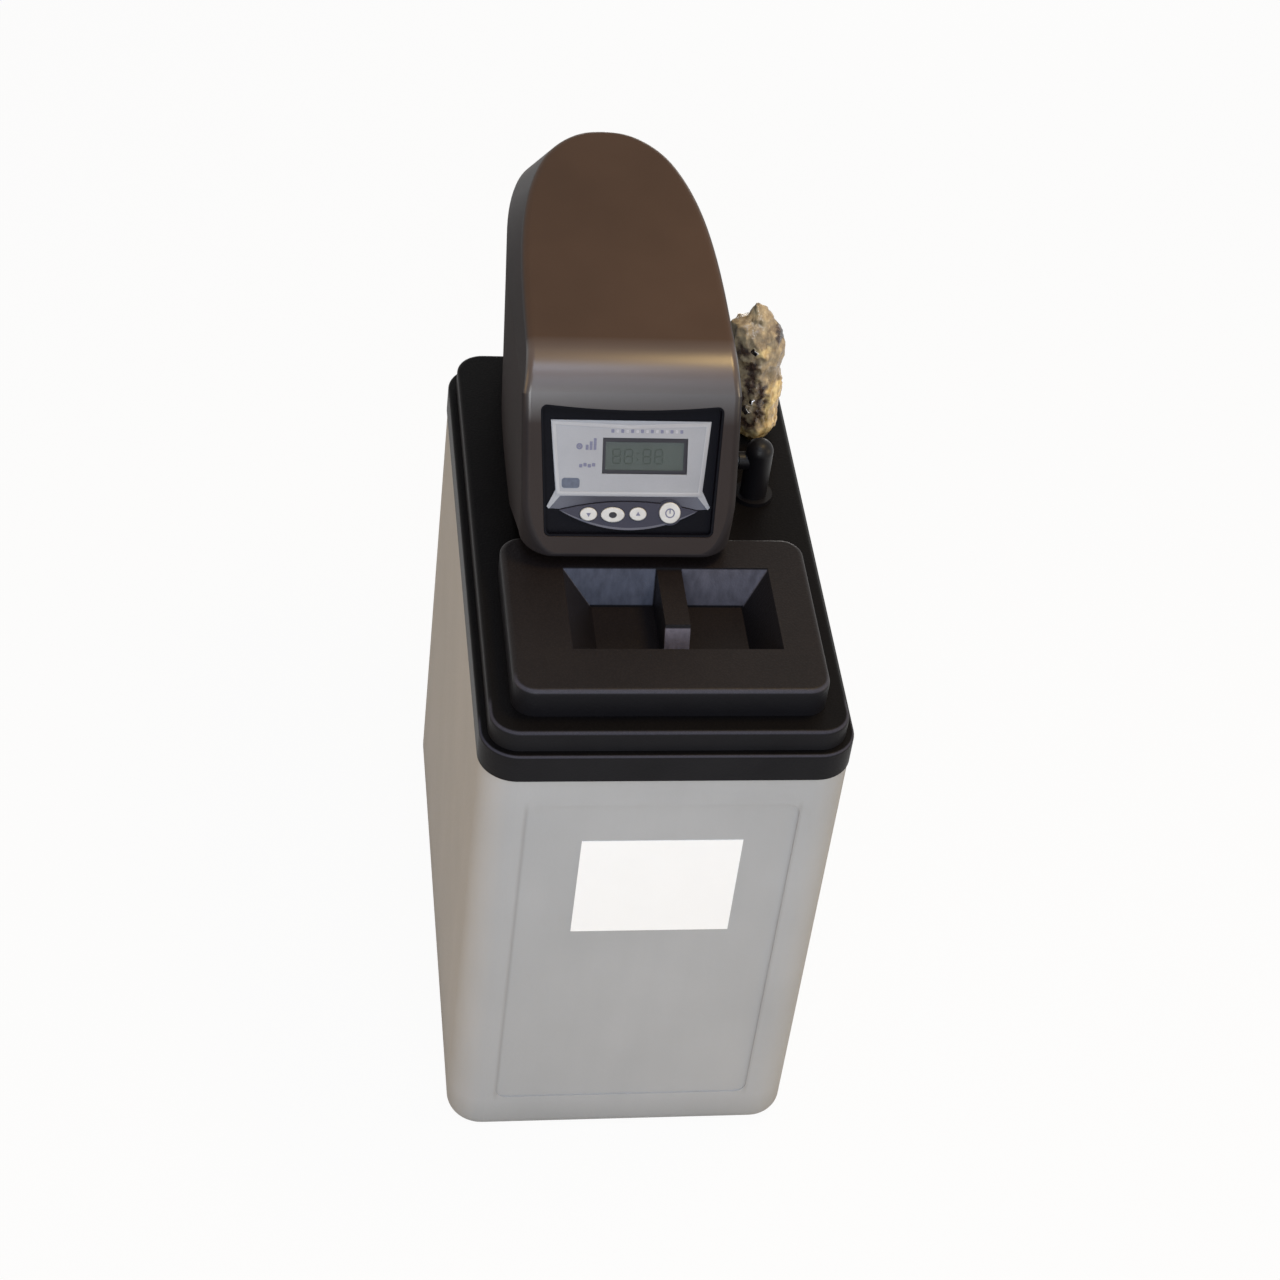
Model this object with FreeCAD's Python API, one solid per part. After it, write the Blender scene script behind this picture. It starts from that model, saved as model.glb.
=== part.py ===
import FreeCAD, Part

import math
import os

V = FreeCAD.Vector

# Cabinet and its top cover, in millimetres. The origin is the centre of the cabinet's underside,
# with +X to the right of someone facing the display, +Y to the rear and +Z up.
cover_width = 310.0
cover_depth = 510.0
cover_corner_r = 32.0
cover_wall = 4.0
skirt_bottom_z = 452.0
skirt_height = 28.0
deck_z = 500.0
deck_step = 7.0
deck_edge_r = 4.0
ledge_edge_r = 3.0

cabinet_wall = 4.0
cabinet_inset = 1.0
cabinet_floor = 5.0
cabinet_bottom_r = 13.0
neck_height = 20.0
panel_half_width = 114.0
panel_bottom_z = 44.0
panel_top_z = 422.0
panel_depth = 1.2
panel_corner_r = 10.0

label_width = 136.0
label_height = 112.0
label_x = 3.0
label_z = 323.0
label_thickness = 0.4

fit_gap = 0.3
running_gap = 0.05

# Salt lid, its finger pockets and its hinge under the head's nose.
lid_half_width = 130.0
lid_front_y = -229.0
lid_rear_y = -40.0
lid_top_z = 528.0
lid_corner_r = 19.0
lid_edge_r = 5.0
lid_wall = 3.5
salt_rim_height = 6.0
salt_rim_wall = 4.0
salt_rim_gap = 4.0
pocket_x = (-79.0, 96.0)
pocket_y = (-179.0, -79.0)
pocket_depth = 38.0
pocket_slope_x = (27.0, 19.0)
pocket_slope_y = (4.0, 8.0)
pocket_wall = 3.0
bar_width = 21.0
bar_x = 11.5
bar_drop = 2.0
bar_front_y = -147.5
bar_foot_run = 16.0
hinge_y = -33.0
hinge_z = 507.0
hinge_x = (-70.0, 40.0)
hinge_pin_r = 2.2
hinge_knuckle_r = 5.0
hinge_knuckle_length = 20.0
hinge_ear = 4.0
hinge_throat = 3.2

# Pressure tank with its contents, standing in the rear of the cabinet.
tank_x = -25.0
tank_y = 140.0
tank_r = 92.0
tank_wall = 3.0
tank_foot_gap = 4.0
tank_dome_r = 44.0
tank_shoulder_z = 450.0
tank_neck_r = 36.0
tank_neck_top_z = 478.0
boot_r = 96.0
boot_height = 60.0
boot_floor = 4.0
riser_r = 13.5
riser_wall = 2.0
strainer_r = 24.0
strainer_height = 40.0
strainer_cone = 60.0
resin_top_z = 300.0

# Brine well with its float, and the grid that carries the salt.
well_gap = 10.0
well_y = 50.0
well_r = 36.0
well_wall = 2.5
well_top_z = 466.0
well_cap_height = 8.0
float_r = 22.0
float_height = 40.0
float_rest_z = 90.0
float_travel = 200.0
rod_r = 4.0
air_check_r = 14.0
air_check_height = 34.0
grid_z = 44.0
grid_thickness = 6.0
grid_slot_length = 42.0
grid_slot_width = 9.0
grid_leg_r = 9.0
overflow_inset = 59.0
overflow_z = 415.0
overflow_r = 10.0
overflow_bore_r = 6.5
overflow_reach = 24.0
overflow_drop = 30.0

# Head cover over the control valve. The display face leans back by face_lean degrees.
head_x = -25.0
face_y = -72.0
face_z = 556.0
face_lean = 30.0
face_below = 19.8
head_base_gap = 0.3
nose_back_y = -43.0
head_base_front_y = 35.0
brow_z = 683.0
brow_r = 50.0
top_rise = 0.10
head_wall = 3.0
head_edge_r = 7.0
nose_edge_r = 3.0
nose_corner_r = 30.0
head_bend_y = 60.0
head_cut_y = -80.0
head_low_z = 480.0
head_belt_z = 656.0
head_high_z = 725.0
port_notch_half = 66.0
port_notch_top_z = 578.0
port_notch_r = 12.0

# Plans of the head at three levels: height, half width, rearmost y and how square its rear is.
head_levels = (
    (head_low_z, 88.0, 325.0, 2.8),
    (head_belt_z, 92.5, 346.0, 3.5),
    (head_high_z, 81.0, 292.0, 2.2),
)

# Control panel in the face's own frame: u to the right, v up the face, w outwards.
recess_bottom_half = 71.0
recess_top_half = 77.0
recess_height = 111.0
recess_sag = 4.5
recess_corner_r = 5.0
bezel_depth = 11.0
bezel_wall = 1.6
bezel_floor = 2.5
fascia_thickness = 1.5
fascia_top_v = 97.0
fascia_top_half = 67.5
fascia_bottom_v = 33.0
fascia_bottom_half = 62.0
wing_tip_u = 69.0
wing_tip_v = 22.0
window_u = (-23.5, 48.3)
window_v = (52.0, 82.5)
window_thickness = 1.0
module_depth = 4.0
smile_half = 58.5
smile_end_v = 21.0
smile_top_v = 28.5
smile_low_v = 4.5
smile_thickness = 2.6
round_rim = 1.8
button_travel = 1.2
button_rise = 1.8
button_gap = 0.35
stem_r = 2.2
stem_length = 6.3
switch_height = 1.5
board_w = -16.5
board_thickness = 1.6
board_half_u = 56.0
board_v = (6.0, 94.0)
post_r = 3.0
screw_head_r = 3.4
screw_head = 2.0

# Each button: its name, its centre on the face and its half sizes.
buttons = (
    ("button_left", -33.9, 18.0, 7.2, 5.6),
    ("button_select", -13.5, 17.6, 10.0, 6.4),
    ("button_right", 7.8, 18.4, 7.2, 5.6),
    ("button_round", 34.8, 19.6, 9.0, 9.0),
)

# Control valve on the tank's neck.
collar_r = 46.0
collar_bottom_z = 458.0
collar_top_z = 488.0
column_r = 34.0
body_half_width = 34.0
body_front_y = 34.0
body_rear_y = 246.0
body_bottom_z = 530.0
body_height = 70.0
body_corner_r = 10.0
port_spacing = 76.0
port_z = 548.0
port_r = 16.0
port_flange_r = 19.0
port_flange = 4.0
thread_r = 13.2
thread_length = 18.0
port_end_y = 305.0
port_bore_r = 9.5
port_bore_depth = 60.0
drain_r = 6.5
drain_bore_r = 4.0
drain_length = 48.0
drain_collar = 6.0
barb_start = 20.0
barb_pitch = 8.0
barb_land = 1.5
barb_count = 3
seal_thickness = 1.5
injector_y = 96.0
injector_z = 572.0
injector_r = 10.0
injector_length = 22.0
brine_line_r = 5.0
brine_line_bore = 3.0
brine_line_z = 540.0

plate_thickness = 6.0
cam_rise = 50.0
cam_journal_r = 5.0
cam_base_r = 9.0
cam_lobe_r = 11.0
cam_width = 9.0
first_plunger_y = 66.0
plunger_pitch = 27.0
plunger_r = 4.0
plunger_head_r = 8.0
plunger_head = 4.0
plunger_depth = 16.0
guide_r = 8.0
guide_height = 12.0
bearing_width = 8.0

# Turns, in degrees, at which each cam has a flat that lets its plunger rise. All have one at rest
# and at half a turn.
cam_flats = ((0, 180), (0, 90, 180), (0, 180, 270), (0, 135, 180), (0, 180, 225), (0, 90, 180, 270))

gear_module = 1.5
gear_teeth = 32
pinion_teeth = 10
gear_width = 8.0
gear_front_y = 25.0
pinion_angle = -60.0
mesh_play = 0.15
motor_r = 21.0
motor_front_y = 4.0
bracket_thickness = 2.5
shaft_r = 3.0

# Upright brine elbow on the deck, and the clear bag of loose connection fittings beside it.
elbow_r = 12.0
elbow_top_z = 562.0
elbow_flange_r = 17.0
elbow_flange = 4.0
bag_inset = 38.0
bag_y = 137.0
bag_width = 42.0
bag_thickness = 38.0
bag_height = 138.0
bag_lean_x = -15.0
bag_lean_y = 8.0
bag_film = 1.0
tail_r = 10.0
tail_length = 44.0
nut_r = 15.0
nut_length = 16.0

face_turn = 90.0 - face_lean
skirt_top_z = skirt_bottom_z + skirt_height
neck_inset = cover_wall + fit_gap
cabinet_half_width = cover_width / 2 - cabinet_inset
cabinet_half_depth = cover_depth / 2 - cabinet_inset
deck_under_z = deck_z - cover_wall
well_x = cabinet_half_width - cabinet_wall - well_gap - well_r
overflow_x = cabinet_half_width - overflow_inset
bag_x = cabinet_half_width - bag_inset
body_top_z = body_bottom_z + body_height
cam_axis_z = body_top_z + cam_rise
plunger_bottom_z = body_top_z - plunger_depth


def block(x0, x1, y0, y1, z0, z1):
    """A box between two corners."""
    return Part.makeBox(x1 - x0, y1 - y0, z1 - z0, V(x0, y0, z0))


def rounded_block(x0, x1, y0, y1, z0, z1, radius):
    """A box with rounded upright edges."""
    solid = block(x0, x1, y0, y1, z0, z1)
    upright = [e for e in solid.Edges if abs(e.BoundBox.ZLength - (z1 - z0)) < 1e-6]
    return solid.makeFillet(radius, upright)


def rod(radius, start, end):
    """A cylinder from one point to another."""
    way = end - start
    return Part.makeCylinder(radius, way.Length, start, way)


def level_edges(solid, z):
    """The edges that lie wholly at one height."""
    return [e for e in solid.Edges if abs(e.BoundBox.ZMin - z) < 1e-4 and abs(e.BoundBox.ZMax - z) < 1e-4]


def meet(p, d, q, e):
    """Where the line through p along d crosses the line through q along e."""
    cross = d[0] * e[1] - d[1] * e[0]
    t = ((q[0] - p[0]) * e[1] - (q[1] - p[1]) * e[0]) / cross
    return (p[0] + d[0] * t, p[1] + d[1] * t)


def turned(profile, x, y):
    """A solid of revolution about the upright line at x, y from (radius, z) points."""
    points = [V(x + r, y, z) for r, z in profile]
    wire = Part.makePolygon(points + [points[0]])
    return Part.Face(wire).revolve(V(x, y, 0), V(0, 0, 1), 360)


def turned_along(profile, start, direction):
    """A solid of revolution about a line, from (radius, distance) points."""
    points = [V(r, 0, z) for r, z in profile]
    wire = Part.makePolygon(points + [points[0]])
    solid = Part.Face(wire).revolve(V(0, 0, 0), V(0, 0, 1), 360)
    solid.Placement = FreeCAD.Placement(start, FreeCAD.Rotation(V(0, 0, 1), direction))
    return solid


def on_face(solid):
    """Carry a solid from the face's own frame to its place on the head."""
    turn = FreeCAD.Rotation(V(1, 0, 0), face_turn)
    moved = solid.copy()
    moved.Placement = FreeCAD.Placement(V(head_x, face_y, face_z), turn).multiply(solid.Placement)
    return moved


def save(name, solid):
    """Write one piece to its own file."""
    solid.exportStep(os.path.join("parts", name + ".step"))


# Cabinet

def cabinet_plan(inset, z0, z1):
    """The cabinet's plan, drawn in by an inset, as a solid between two heights."""
    half_x = cabinet_half_width - inset
    half_y = cabinet_half_depth - inset
    return rounded_block(-half_x, half_x, -half_y, half_y, z0, z1, cover_corner_r - cabinet_inset - inset)


def cabinet_shell():
    """Blow-moulded cabinet with a stepped neck that the cover sits over."""
    step = neck_inset - cabinet_inset
    neck_top_z = skirt_bottom_z + neck_height
    body = cabinet_plan(0, 0, skirt_bottom_z)
    body = body.makeFillet(cabinet_bottom_r, level_edges(body, 0))
    neck = cabinet_plan(step, skirt_bottom_z - 1, neck_top_z)
    shell = body.fuse(neck)
    shoulder_z = skirt_bottom_z - 2 * cabinet_wall
    cavity = cabinet_plan(cabinet_wall, cabinet_floor, shoulder_z)
    cavity = cavity.makeFillet(cabinet_bottom_r - cabinet_wall, level_edges(cavity, cabinet_floor))
    mouth = cabinet_plan(step + cabinet_wall, shoulder_z - 1, neck_top_z + 1)
    shell = shell.cut(cavity).cut(mouth)
    panel = block(-panel_half_width, panel_half_width, -cabinet_half_depth - 1,
                  -cabinet_half_depth + panel_depth, panel_bottom_z, panel_top_z)
    corners = [e for e in panel.Edges if e.BoundBox.YLength > panel_depth]
    shell = shell.cut(panel.makeFillet(panel_corner_r, corners))
    wall_hole = rod(overflow_r + fit_gap, V(overflow_x, cabinet_half_depth - 2 * cabinet_wall, overflow_z),
                    V(overflow_x, cabinet_half_depth + 1, overflow_z))
    return shell.cut(wall_hole).removeSplitter()


def cover_plan(inset, z0, z1):
    """The cover's plan, drawn in by an inset, as a solid between two heights."""
    half_x = cover_width / 2 - inset
    half_y = cover_depth / 2 - inset
    return rounded_block(-half_x, half_x, -half_y, half_y, z0, z1, cover_corner_r - inset)


def salt_mouth(inset, z0, z1):
    """The salt opening's plan, drawn in by an inset, between two heights."""
    half_x = lid_half_width - lid_wall - salt_rim_gap - inset
    near_y = lid_front_y + lid_wall + salt_rim_gap + inset
    far_y = lid_rear_y - lid_wall - salt_rim_gap - inset
    return rounded_block(-half_x, half_x, near_y, far_y, z0, z1, lid_corner_r - lid_wall - inset)


def hinge_ears():
    """Two pairs of ears on the deck that carry the lid's hinge pins."""
    ears = []
    for x in hinge_x:
        for side in (-1, 1):
            near = x + side * (hinge_knuckle_length / 2 + fit_gap)
            x0, x1 = sorted((near, near + side * hinge_ear))
            ear = rod(hinge_knuckle_r, V(x0, hinge_y, hinge_z), V(x1, hinge_y, hinge_z))
            foot = block(x0, x1, hinge_y - hinge_knuckle_r, hinge_y + hinge_knuckle_r, deck_z - 1, hinge_z)
            ears.append(ear.fuse(foot))
    return ears


def cabinet_cover():
    """Stepped top cover with the salt opening, the tank's hole and the lid's hinge ears."""
    skirt = cover_plan(0, skirt_bottom_z, skirt_top_z)
    skirt = skirt.makeFillet(ledge_edge_r, level_edges(skirt, skirt_top_z))
    deck = cover_plan(deck_step, skirt_top_z - 1, deck_z)
    deck = deck.makeFillet(deck_edge_r, level_edges(deck, deck_z))
    cover = skirt.fuse(deck).fuse(salt_mouth(0, deck_z - 1, deck_z + salt_rim_height))
    cover = cover.cut(cover_plan(cover_wall, skirt_bottom_z - 1, skirt_top_z - cover_wall))
    cover = cover.cut(cover_plan(deck_step + cover_wall, skirt_bottom_z, deck_under_z))
    cover = cover.cut(salt_mouth(salt_rim_wall, deck_under_z - 1, deck_z + salt_rim_height + 1))
    cover = cover.fuse(hinge_ears())
    for x in hinge_x:
        span = hinge_knuckle_length / 2 + fit_gap + hinge_ear + 1
        cover = cover.cut(rod(hinge_pin_r, V(x - span, hinge_y, hinge_z), V(x + span, hinge_y, hinge_z)))
    cover = cover.cut(rod(collar_r + 4, V(tank_x, tank_y, deck_under_z - 1), V(tank_x, tank_y, deck_z + 1)))
    stub_hole = rod(elbow_r - 2 + fit_gap, V(well_x, well_y, deck_under_z - 1), V(well_x, well_y, deck_z + 1))
    return cover.cut(stub_hole).removeSplitter()


def front_label():
    """Plain sticker in the front panel's recess."""
    face = -cabinet_half_depth + panel_depth
    plate = block(label_x - label_width / 2, label_x + label_width / 2, face - label_thickness, face,
                  label_z - label_height / 2, label_z + label_height / 2)
    return plate


# Salt lid

def pocket_pan(grow, z_top, depth):
    """The finger pocket's tapered space, grown by a wall, from a height down to a depth."""
    x0, x1 = pocket_x[0] - grow, pocket_x[1] + grow
    y0, y1 = pocket_y[0] - grow, pocket_y[1] + grow
    low_x0, low_x1 = x0 + pocket_slope_x[0], x1 - pocket_slope_x[1]
    low_y0, low_y1 = y0 + pocket_slope_y[0], y1 - pocket_slope_y[1]
    z_low = z_top - depth
    top = [V(x0, y0, z_top), V(x1, y0, z_top), V(x1, y1, z_top), V(x0, y1, z_top)]
    low = [V(low_x0, low_y0, z_low), V(low_x1, low_y0, z_low),
           V(low_x1, low_y1, z_low), V(low_x0, low_y1, z_low)]
    wires = [Part.makePolygon(w + [w[0]]) for w in (low, top)]
    return Part.makeLoft(wires, True, True)


def lid_bar():
    """Centre bar between the pockets, with its front end sloping down."""
    top_z = lid_top_z - bar_drop
    low_z = lid_top_z - pocket_depth - pocket_wall / 2
    side = [V(0, pocket_y[1] + 1, top_z), V(0, bar_front_y, top_z), V(0, bar_front_y - bar_foot_run, low_z),
            V(0, pocket_y[1] + 1, low_z)]
    profile = Part.Face(Part.makePolygon(side + [side[0]]))
    profile.translate(V(bar_x - bar_width / 2, 0, 0))
    return profile.extrude(V(bar_width, 0, 0))


def lid_knuckles():
    """Hooks on the lid's rear wall that clip over the hinge pins."""
    knuckles = []
    for x in hinge_x:
        x0, x1 = x - hinge_knuckle_length / 2, x + hinge_knuckle_length / 2
        barrel = rod(hinge_knuckle_r, V(x0, hinge_y, hinge_z), V(x1, hinge_y, hinge_z))
        arm = block(x0, x1, lid_rear_y - 1, hinge_y, hinge_z, hinge_z + hinge_knuckle_r)
        bore = rod(hinge_pin_r + running_gap, V(x0 - 1, hinge_y, hinge_z), V(x1 + 1, hinge_y, hinge_z))
        throat = block(x0 - 1, x1 + 1, hinge_y, hinge_y + 2 * hinge_knuckle_r, hinge_z - hinge_throat / 2,
                       hinge_z + hinge_throat / 2)
        knuckles.append(barrel.fuse(arm).cut(bore).cut(throat))
    return knuckles


def salt_lid():
    """Lift-up salt lid with two finger pockets and a centre bar."""
    bottom_z = deck_z + fit_gap
    outer = rounded_block(-lid_half_width, lid_half_width, lid_front_y, lid_rear_y,
                          bottom_z, lid_top_z, lid_corner_r)
    outer = outer.makeFillet(lid_edge_r, level_edges(outer, lid_top_z))
    hollow = rounded_block(-lid_half_width + lid_wall, lid_half_width - lid_wall, lid_front_y + lid_wall,
                           lid_rear_y - lid_wall, bottom_z - 1, lid_top_z - lid_wall, lid_corner_r - lid_wall)
    lid = outer.cut(hollow)
    pan_depth = pocket_depth + pocket_wall - lid_wall / 2
    lid = lid.fuse(pocket_pan(pocket_wall, lid_top_z - lid_wall / 2, pan_depth))
    lid = lid.cut(pocket_pan(0, lid_top_z, pocket_depth))
    lid = lid.cut(pocket_pan(0, lid_top_z + 1, 2))
    return lid.fuse(lid_bar()).fuse(lid_knuckles()).removeSplitter()


def lid_hinge_pins():
    """Two plain pins through the ears and the knuckles."""
    span = hinge_knuckle_length / 2 + fit_gap + hinge_ear
    return Part.makeCompound([rod(hinge_pin_r, V(x - span, hinge_y, hinge_z), V(x + span, hinge_y, hinge_z))
                              for x in hinge_x])


# Tank and its contents

def vessel(inset):
    """The tank's outline as a solid, drawn in by an inset."""
    foot_z = cabinet_floor + boot_floor
    body = rod(tank_r - inset, V(tank_x, tank_y, foot_z + inset), V(tank_x, tank_y, tank_shoulder_z - inset))
    ends = level_edges(body, foot_z + inset) + level_edges(body, tank_shoulder_z - inset)
    body = body.makeFillet(tank_dome_r, ends)
    neck_end = tank_neck_top_z + inset
    return body.fuse(rod(tank_neck_r - inset, V(tank_x, tank_y, tank_shoulder_z - 2 * tank_wall),
                         V(tank_x, tank_y, neck_end)))


def resin_tank():
    """Pressure vessel with domed ends and an open neck."""
    return vessel(0).cut(vessel(tank_wall)).removeSplitter()


def tank_boot():
    """Cup under the tank that stands it on the cabinet's floor."""
    cup = rod(boot_r, V(tank_x, tank_y, cabinet_floor), V(tank_x, tank_y, cabinet_floor + boot_height))
    return cup.cut(vessel(-fit_gap).common(block(-200, 200, 0, 300, cabinet_floor + boot_floor, 200)))


def riser_tube():
    """Riser from the strainer up into the valve."""
    low, high = V(tank_x, tank_y, riser_foot_z()), V(tank_x, tank_y, collar_top_z)
    return rod(riser_r, low, high).cut(rod(riser_r - riser_wall, low, high))


def riser_foot_z():
    """Where the riser stands on its strainer."""
    return cabinet_floor + boot_floor + tank_wall + fit_gap + strainer_height


def bottom_strainer():
    """Slotted basket at the tank's foot."""
    top_z = riser_foot_z()
    body = rod(strainer_r, V(tank_x, tank_y, top_z - strainer_height), V(tank_x, tank_y, top_z))
    for ring in range(5):
        z = top_z - strainer_height + 7 * (ring + 1) - 3
        groove = rod(strainer_r + 1, V(tank_x, tank_y, z), V(tank_x, tank_y, z + 2))
        body = body.cut(groove.cut(rod(strainer_r - 3, V(tank_x, tank_y, z), V(tank_x, tank_y, z + 2))))
    return body


def top_strainer():
    """Cone strainer in the tank's neck, round the riser."""
    top_z = tank_neck_top_z
    inner = riser_r + fit_gap
    outer = tank_neck_r - tank_wall - fit_gap
    low_z = top_z - strainer_cone
    return turned([(inner, low_z), (outer - 6, low_z), (outer, top_z), (inner, top_z)], tank_x, tank_y)


def resin_bed():
    """The bed of softening beads, as one settled mass."""
    bed = vessel(tank_wall + fit_gap).common(block(-200, 200, 0, 300, 0, resin_top_z))
    bed = bed.cut(rod(riser_r + fit_gap, V(tank_x, tank_y, 0), V(tank_x, tank_y, resin_top_z)))
    hole_top = riser_foot_z() + fit_gap
    return bed.cut(rod(strainer_r + fit_gap, V(tank_x, tank_y, 0), V(tank_x, tank_y, hole_top)))


def neck_seal():
    """Seal ring on the tank's mouth."""
    low_z = tank_neck_top_z
    return turned([(tank_neck_r - 5, low_z), (tank_neck_r - 1, low_z), (tank_neck_r - 1, low_z + 3),
                   (tank_neck_r - 5, low_z + 3)], tank_x, tank_y)


# Brine well and salt grid

def brine_well():
    """Tall tube with inlet holes at its foot."""
    low, high = V(well_x, well_y, cabinet_floor), V(well_x, well_y, well_top_z)
    tube = rod(well_r, low, high).cut(rod(well_r - well_wall, low, high))
    for row in range(2):
        z = cabinet_floor + 9 + 12 * row
        for turn in range(4):
            angle = math.radians(45 * turn + 22.5 * row)
            reach = V(math.cos(angle), math.sin(angle), 0) * (well_r + 2)
            centre = V(well_x, well_y, z)
            tube = tube.cut(rod(3.0, centre - reach, centre + reach))
    return tube


def brine_well_cap():
    """Push-on cap with a hole for the elbow's stub."""
    low_z = well_top_z - 6
    high_z = well_top_z + 3
    skirt_in, skirt_out = well_r + fit_gap, well_r + 3
    hole = elbow_r - 2 + fit_gap
    return turned([(hole, well_top_z), (skirt_in, well_top_z), (skirt_in, low_z), (skirt_out, low_z),
                   (skirt_out, high_z), (hole, high_z)], well_x, well_y)


def air_check():
    """Pick-up with an air check at the well's foot."""
    foot = V(well_x, well_y, cabinet_floor)
    body = rod(air_check_r, foot, foot + V(0, 0, air_check_height))
    body = body.makeFillet(3.0, level_edges(body, cabinet_floor + air_check_height))
    reach = air_check_r + 1
    slot = block(well_x - reach, well_x + reach, well_y - 2, well_y + 2, cabinet_floor - 1, cabinet_floor + 9)
    return body.cut(slot)


def float_rod():
    """Rod from the air check to the elbow, with a stop collar for the float at each end."""
    low = V(well_x, well_y, cabinet_floor + air_check_height)
    high = V(well_x, well_y, elbow_stub_z())
    rod_solid = rod(rod_r, low, high)
    for z in (float_rest_z - 6 - fit_gap, float_rest_z + float_height + float_travel + fit_gap):
        rod_solid = rod_solid.fuse(rod(8.0, V(well_x, well_y, z), V(well_x, well_y, z + 6)))
    return rod_solid


def brine_float():
    """Float that rides up the rod and shuts the refill."""
    low, high = V(well_x, well_y, float_rest_z), V(well_x, well_y, float_rest_z + float_height)
    body = rod(float_r, low, high)
    body = body.makeFillet(6.0, level_edges(body, low.z) + level_edges(body, high.z))
    return body.cut(rod(rod_r + running_gap, low, high))


def salt_grid():
    """Slotted plate on legs that keeps the salt off the floor."""
    plate = cabinet_plan(cabinet_wall + 1, grid_z, grid_z + grid_thickness)
    plate = plate.cut(rod(boot_r + 3, V(tank_x, tank_y, grid_z - 1), V(tank_x, tank_y, grid_z + 20)))
    plate = plate.cut(rod(well_r + 2, V(well_x, well_y, grid_z - 1), V(well_x, well_y, grid_z + 20)))
    pitch_x, pitch_y = grid_slot_length + 14, 2.6 * grid_slot_width
    for column in range(-2, 3):
        for row in range(9):
            y = -cabinet_half_depth + 28 + pitch_y * row
            x0 = column * pitch_x - grid_slot_length / 2
            slot = rounded_block(x0, x0 + grid_slot_length, y, y + grid_slot_width, grid_z - 1,
                                 grid_z + grid_thickness + 1, grid_slot_width / 2 - 0.5)
            plate = plate.cut(slot)
    for x in (-118.0, 0.0, 118.0):
        for y in (-226.0, -14.0):
            leg = rod(grid_leg_r, V(x, y, cabinet_floor), V(x, y, grid_z + 1))
            plate = plate.fuse(leg)
    return plate.removeSplitter()


def overflow_elbow():
    """Hose elbow through the rear wall that empties an overfilled cabinet."""
    inside = V(overflow_x, cabinet_half_depth - cabinet_wall - 4, overflow_z)
    knee = V(overflow_x, cabinet_half_depth + overflow_reach, overflow_z)
    foot = knee - V(0, 0, overflow_drop)
    body = rod(overflow_r, inside, knee).fuse(Part.makeSphere(overflow_r, knee))
    body = body.fuse(rod(overflow_r - 1, knee, foot))
    wall_face = V(overflow_x, cabinet_half_depth - cabinet_wall, overflow_z)
    body = body.fuse(rod(overflow_r + 6, inside, wall_face))
    for step in range(3):
        z = foot.z + 2 + 7 * step
        barb = turned([(0, z), (overflow_r - 1, z), (overflow_r, z + 4), (0, z + 4)], knee.x, knee.y)
        body = body.fuse(barb)
    bore = rod(overflow_bore_r, inside - V(0, 1, 0), knee).fuse(rod(overflow_bore_r, knee, foot - V(0, 0, 1)))
    return body.cut(bore.fuse(Part.makeSphere(overflow_bore_r, knee)))


def overflow_nut():
    """Nut that clamps the overflow elbow to the rear wall."""
    start = V(overflow_x, cabinet_half_depth, overflow_z)
    return hex_nut(start, V(0, 1, 0), 17.0, 7.0, overflow_r + fit_gap)


def hex_nut(start, direction, corner_r, length, bore_r):
    """Hexagonal nut along a direction."""
    points = [V(corner_r * math.cos(math.radians(60 * k)), corner_r * math.sin(math.radians(60 * k)), 0)
              for k in range(7)]
    nut = Part.Face(Part.makePolygon(points)).extrude(V(0, 0, length))
    nut = nut.cut(Part.makeCylinder(bore_r, length + 2, V(0, 0, -1)))
    nut.Placement = FreeCAD.Placement(start, FreeCAD.Rotation(V(0, 0, 1), direction))
    return nut


# Head cover

def rear_curve(half, reach, square, z, side):
    """Quarter of a squared ellipse from one side wall to the head's rearmost point."""
    points = []
    for degrees in (0, 14, 30, 45, 60, 76, 90):
        t = math.radians(degrees)
        across = max(math.cos(t), 0.0) ** (2 / square)
        back = math.sin(t) ** (2 / square)
        points.append(V(head_x + side * half * across, head_bend_y + (reach - head_bend_y) * back, z))
    points[-1].x = head_x
    curve = Part.BSplineCurve()
    curve.interpolate(Points=points, InitialTangent=V(0, 1, 0), FinalTangent=V(-side, 0, 0))
    return curve.toShape()


def head_plan(half, reach, square, z):
    """Plan of the head at one height: rounded front corners, straight sides and a curved rear."""
    r = nose_corner_r
    edges = []
    for side in (1, -1):
        x = head_x + side * half
        centre = V(x - side * r, head_cut_y + r, z)
        corner = V(centre.x + side * r * math.sqrt(0.5), centre.y - r * math.sqrt(0.5), z)
        edges.append(Part.Arc(V(centre.x, head_cut_y, z), corner, V(x, centre.y, z)).toShape())
        edges.append(Part.makeLine(V(x, centre.y, z), V(x, head_bend_y, z)))
        edges.append(rear_curve(half, reach, square, z, side))
    inner = half - r
    edges.append(Part.makeLine(V(head_x - inner, head_cut_y, z), V(head_x + inner, head_cut_y, z)))
    return Part.Wire(Part.__sortEdges__(edges))


def head_walls(inset):
    """Walls of the head: flaring a little to the belt, then leaning in."""
    plans = [head_plan(half - inset, reach - inset, square, z) for z, half, reach, square in head_levels]
    return Part.makeLoft(plans, True, True)


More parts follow.
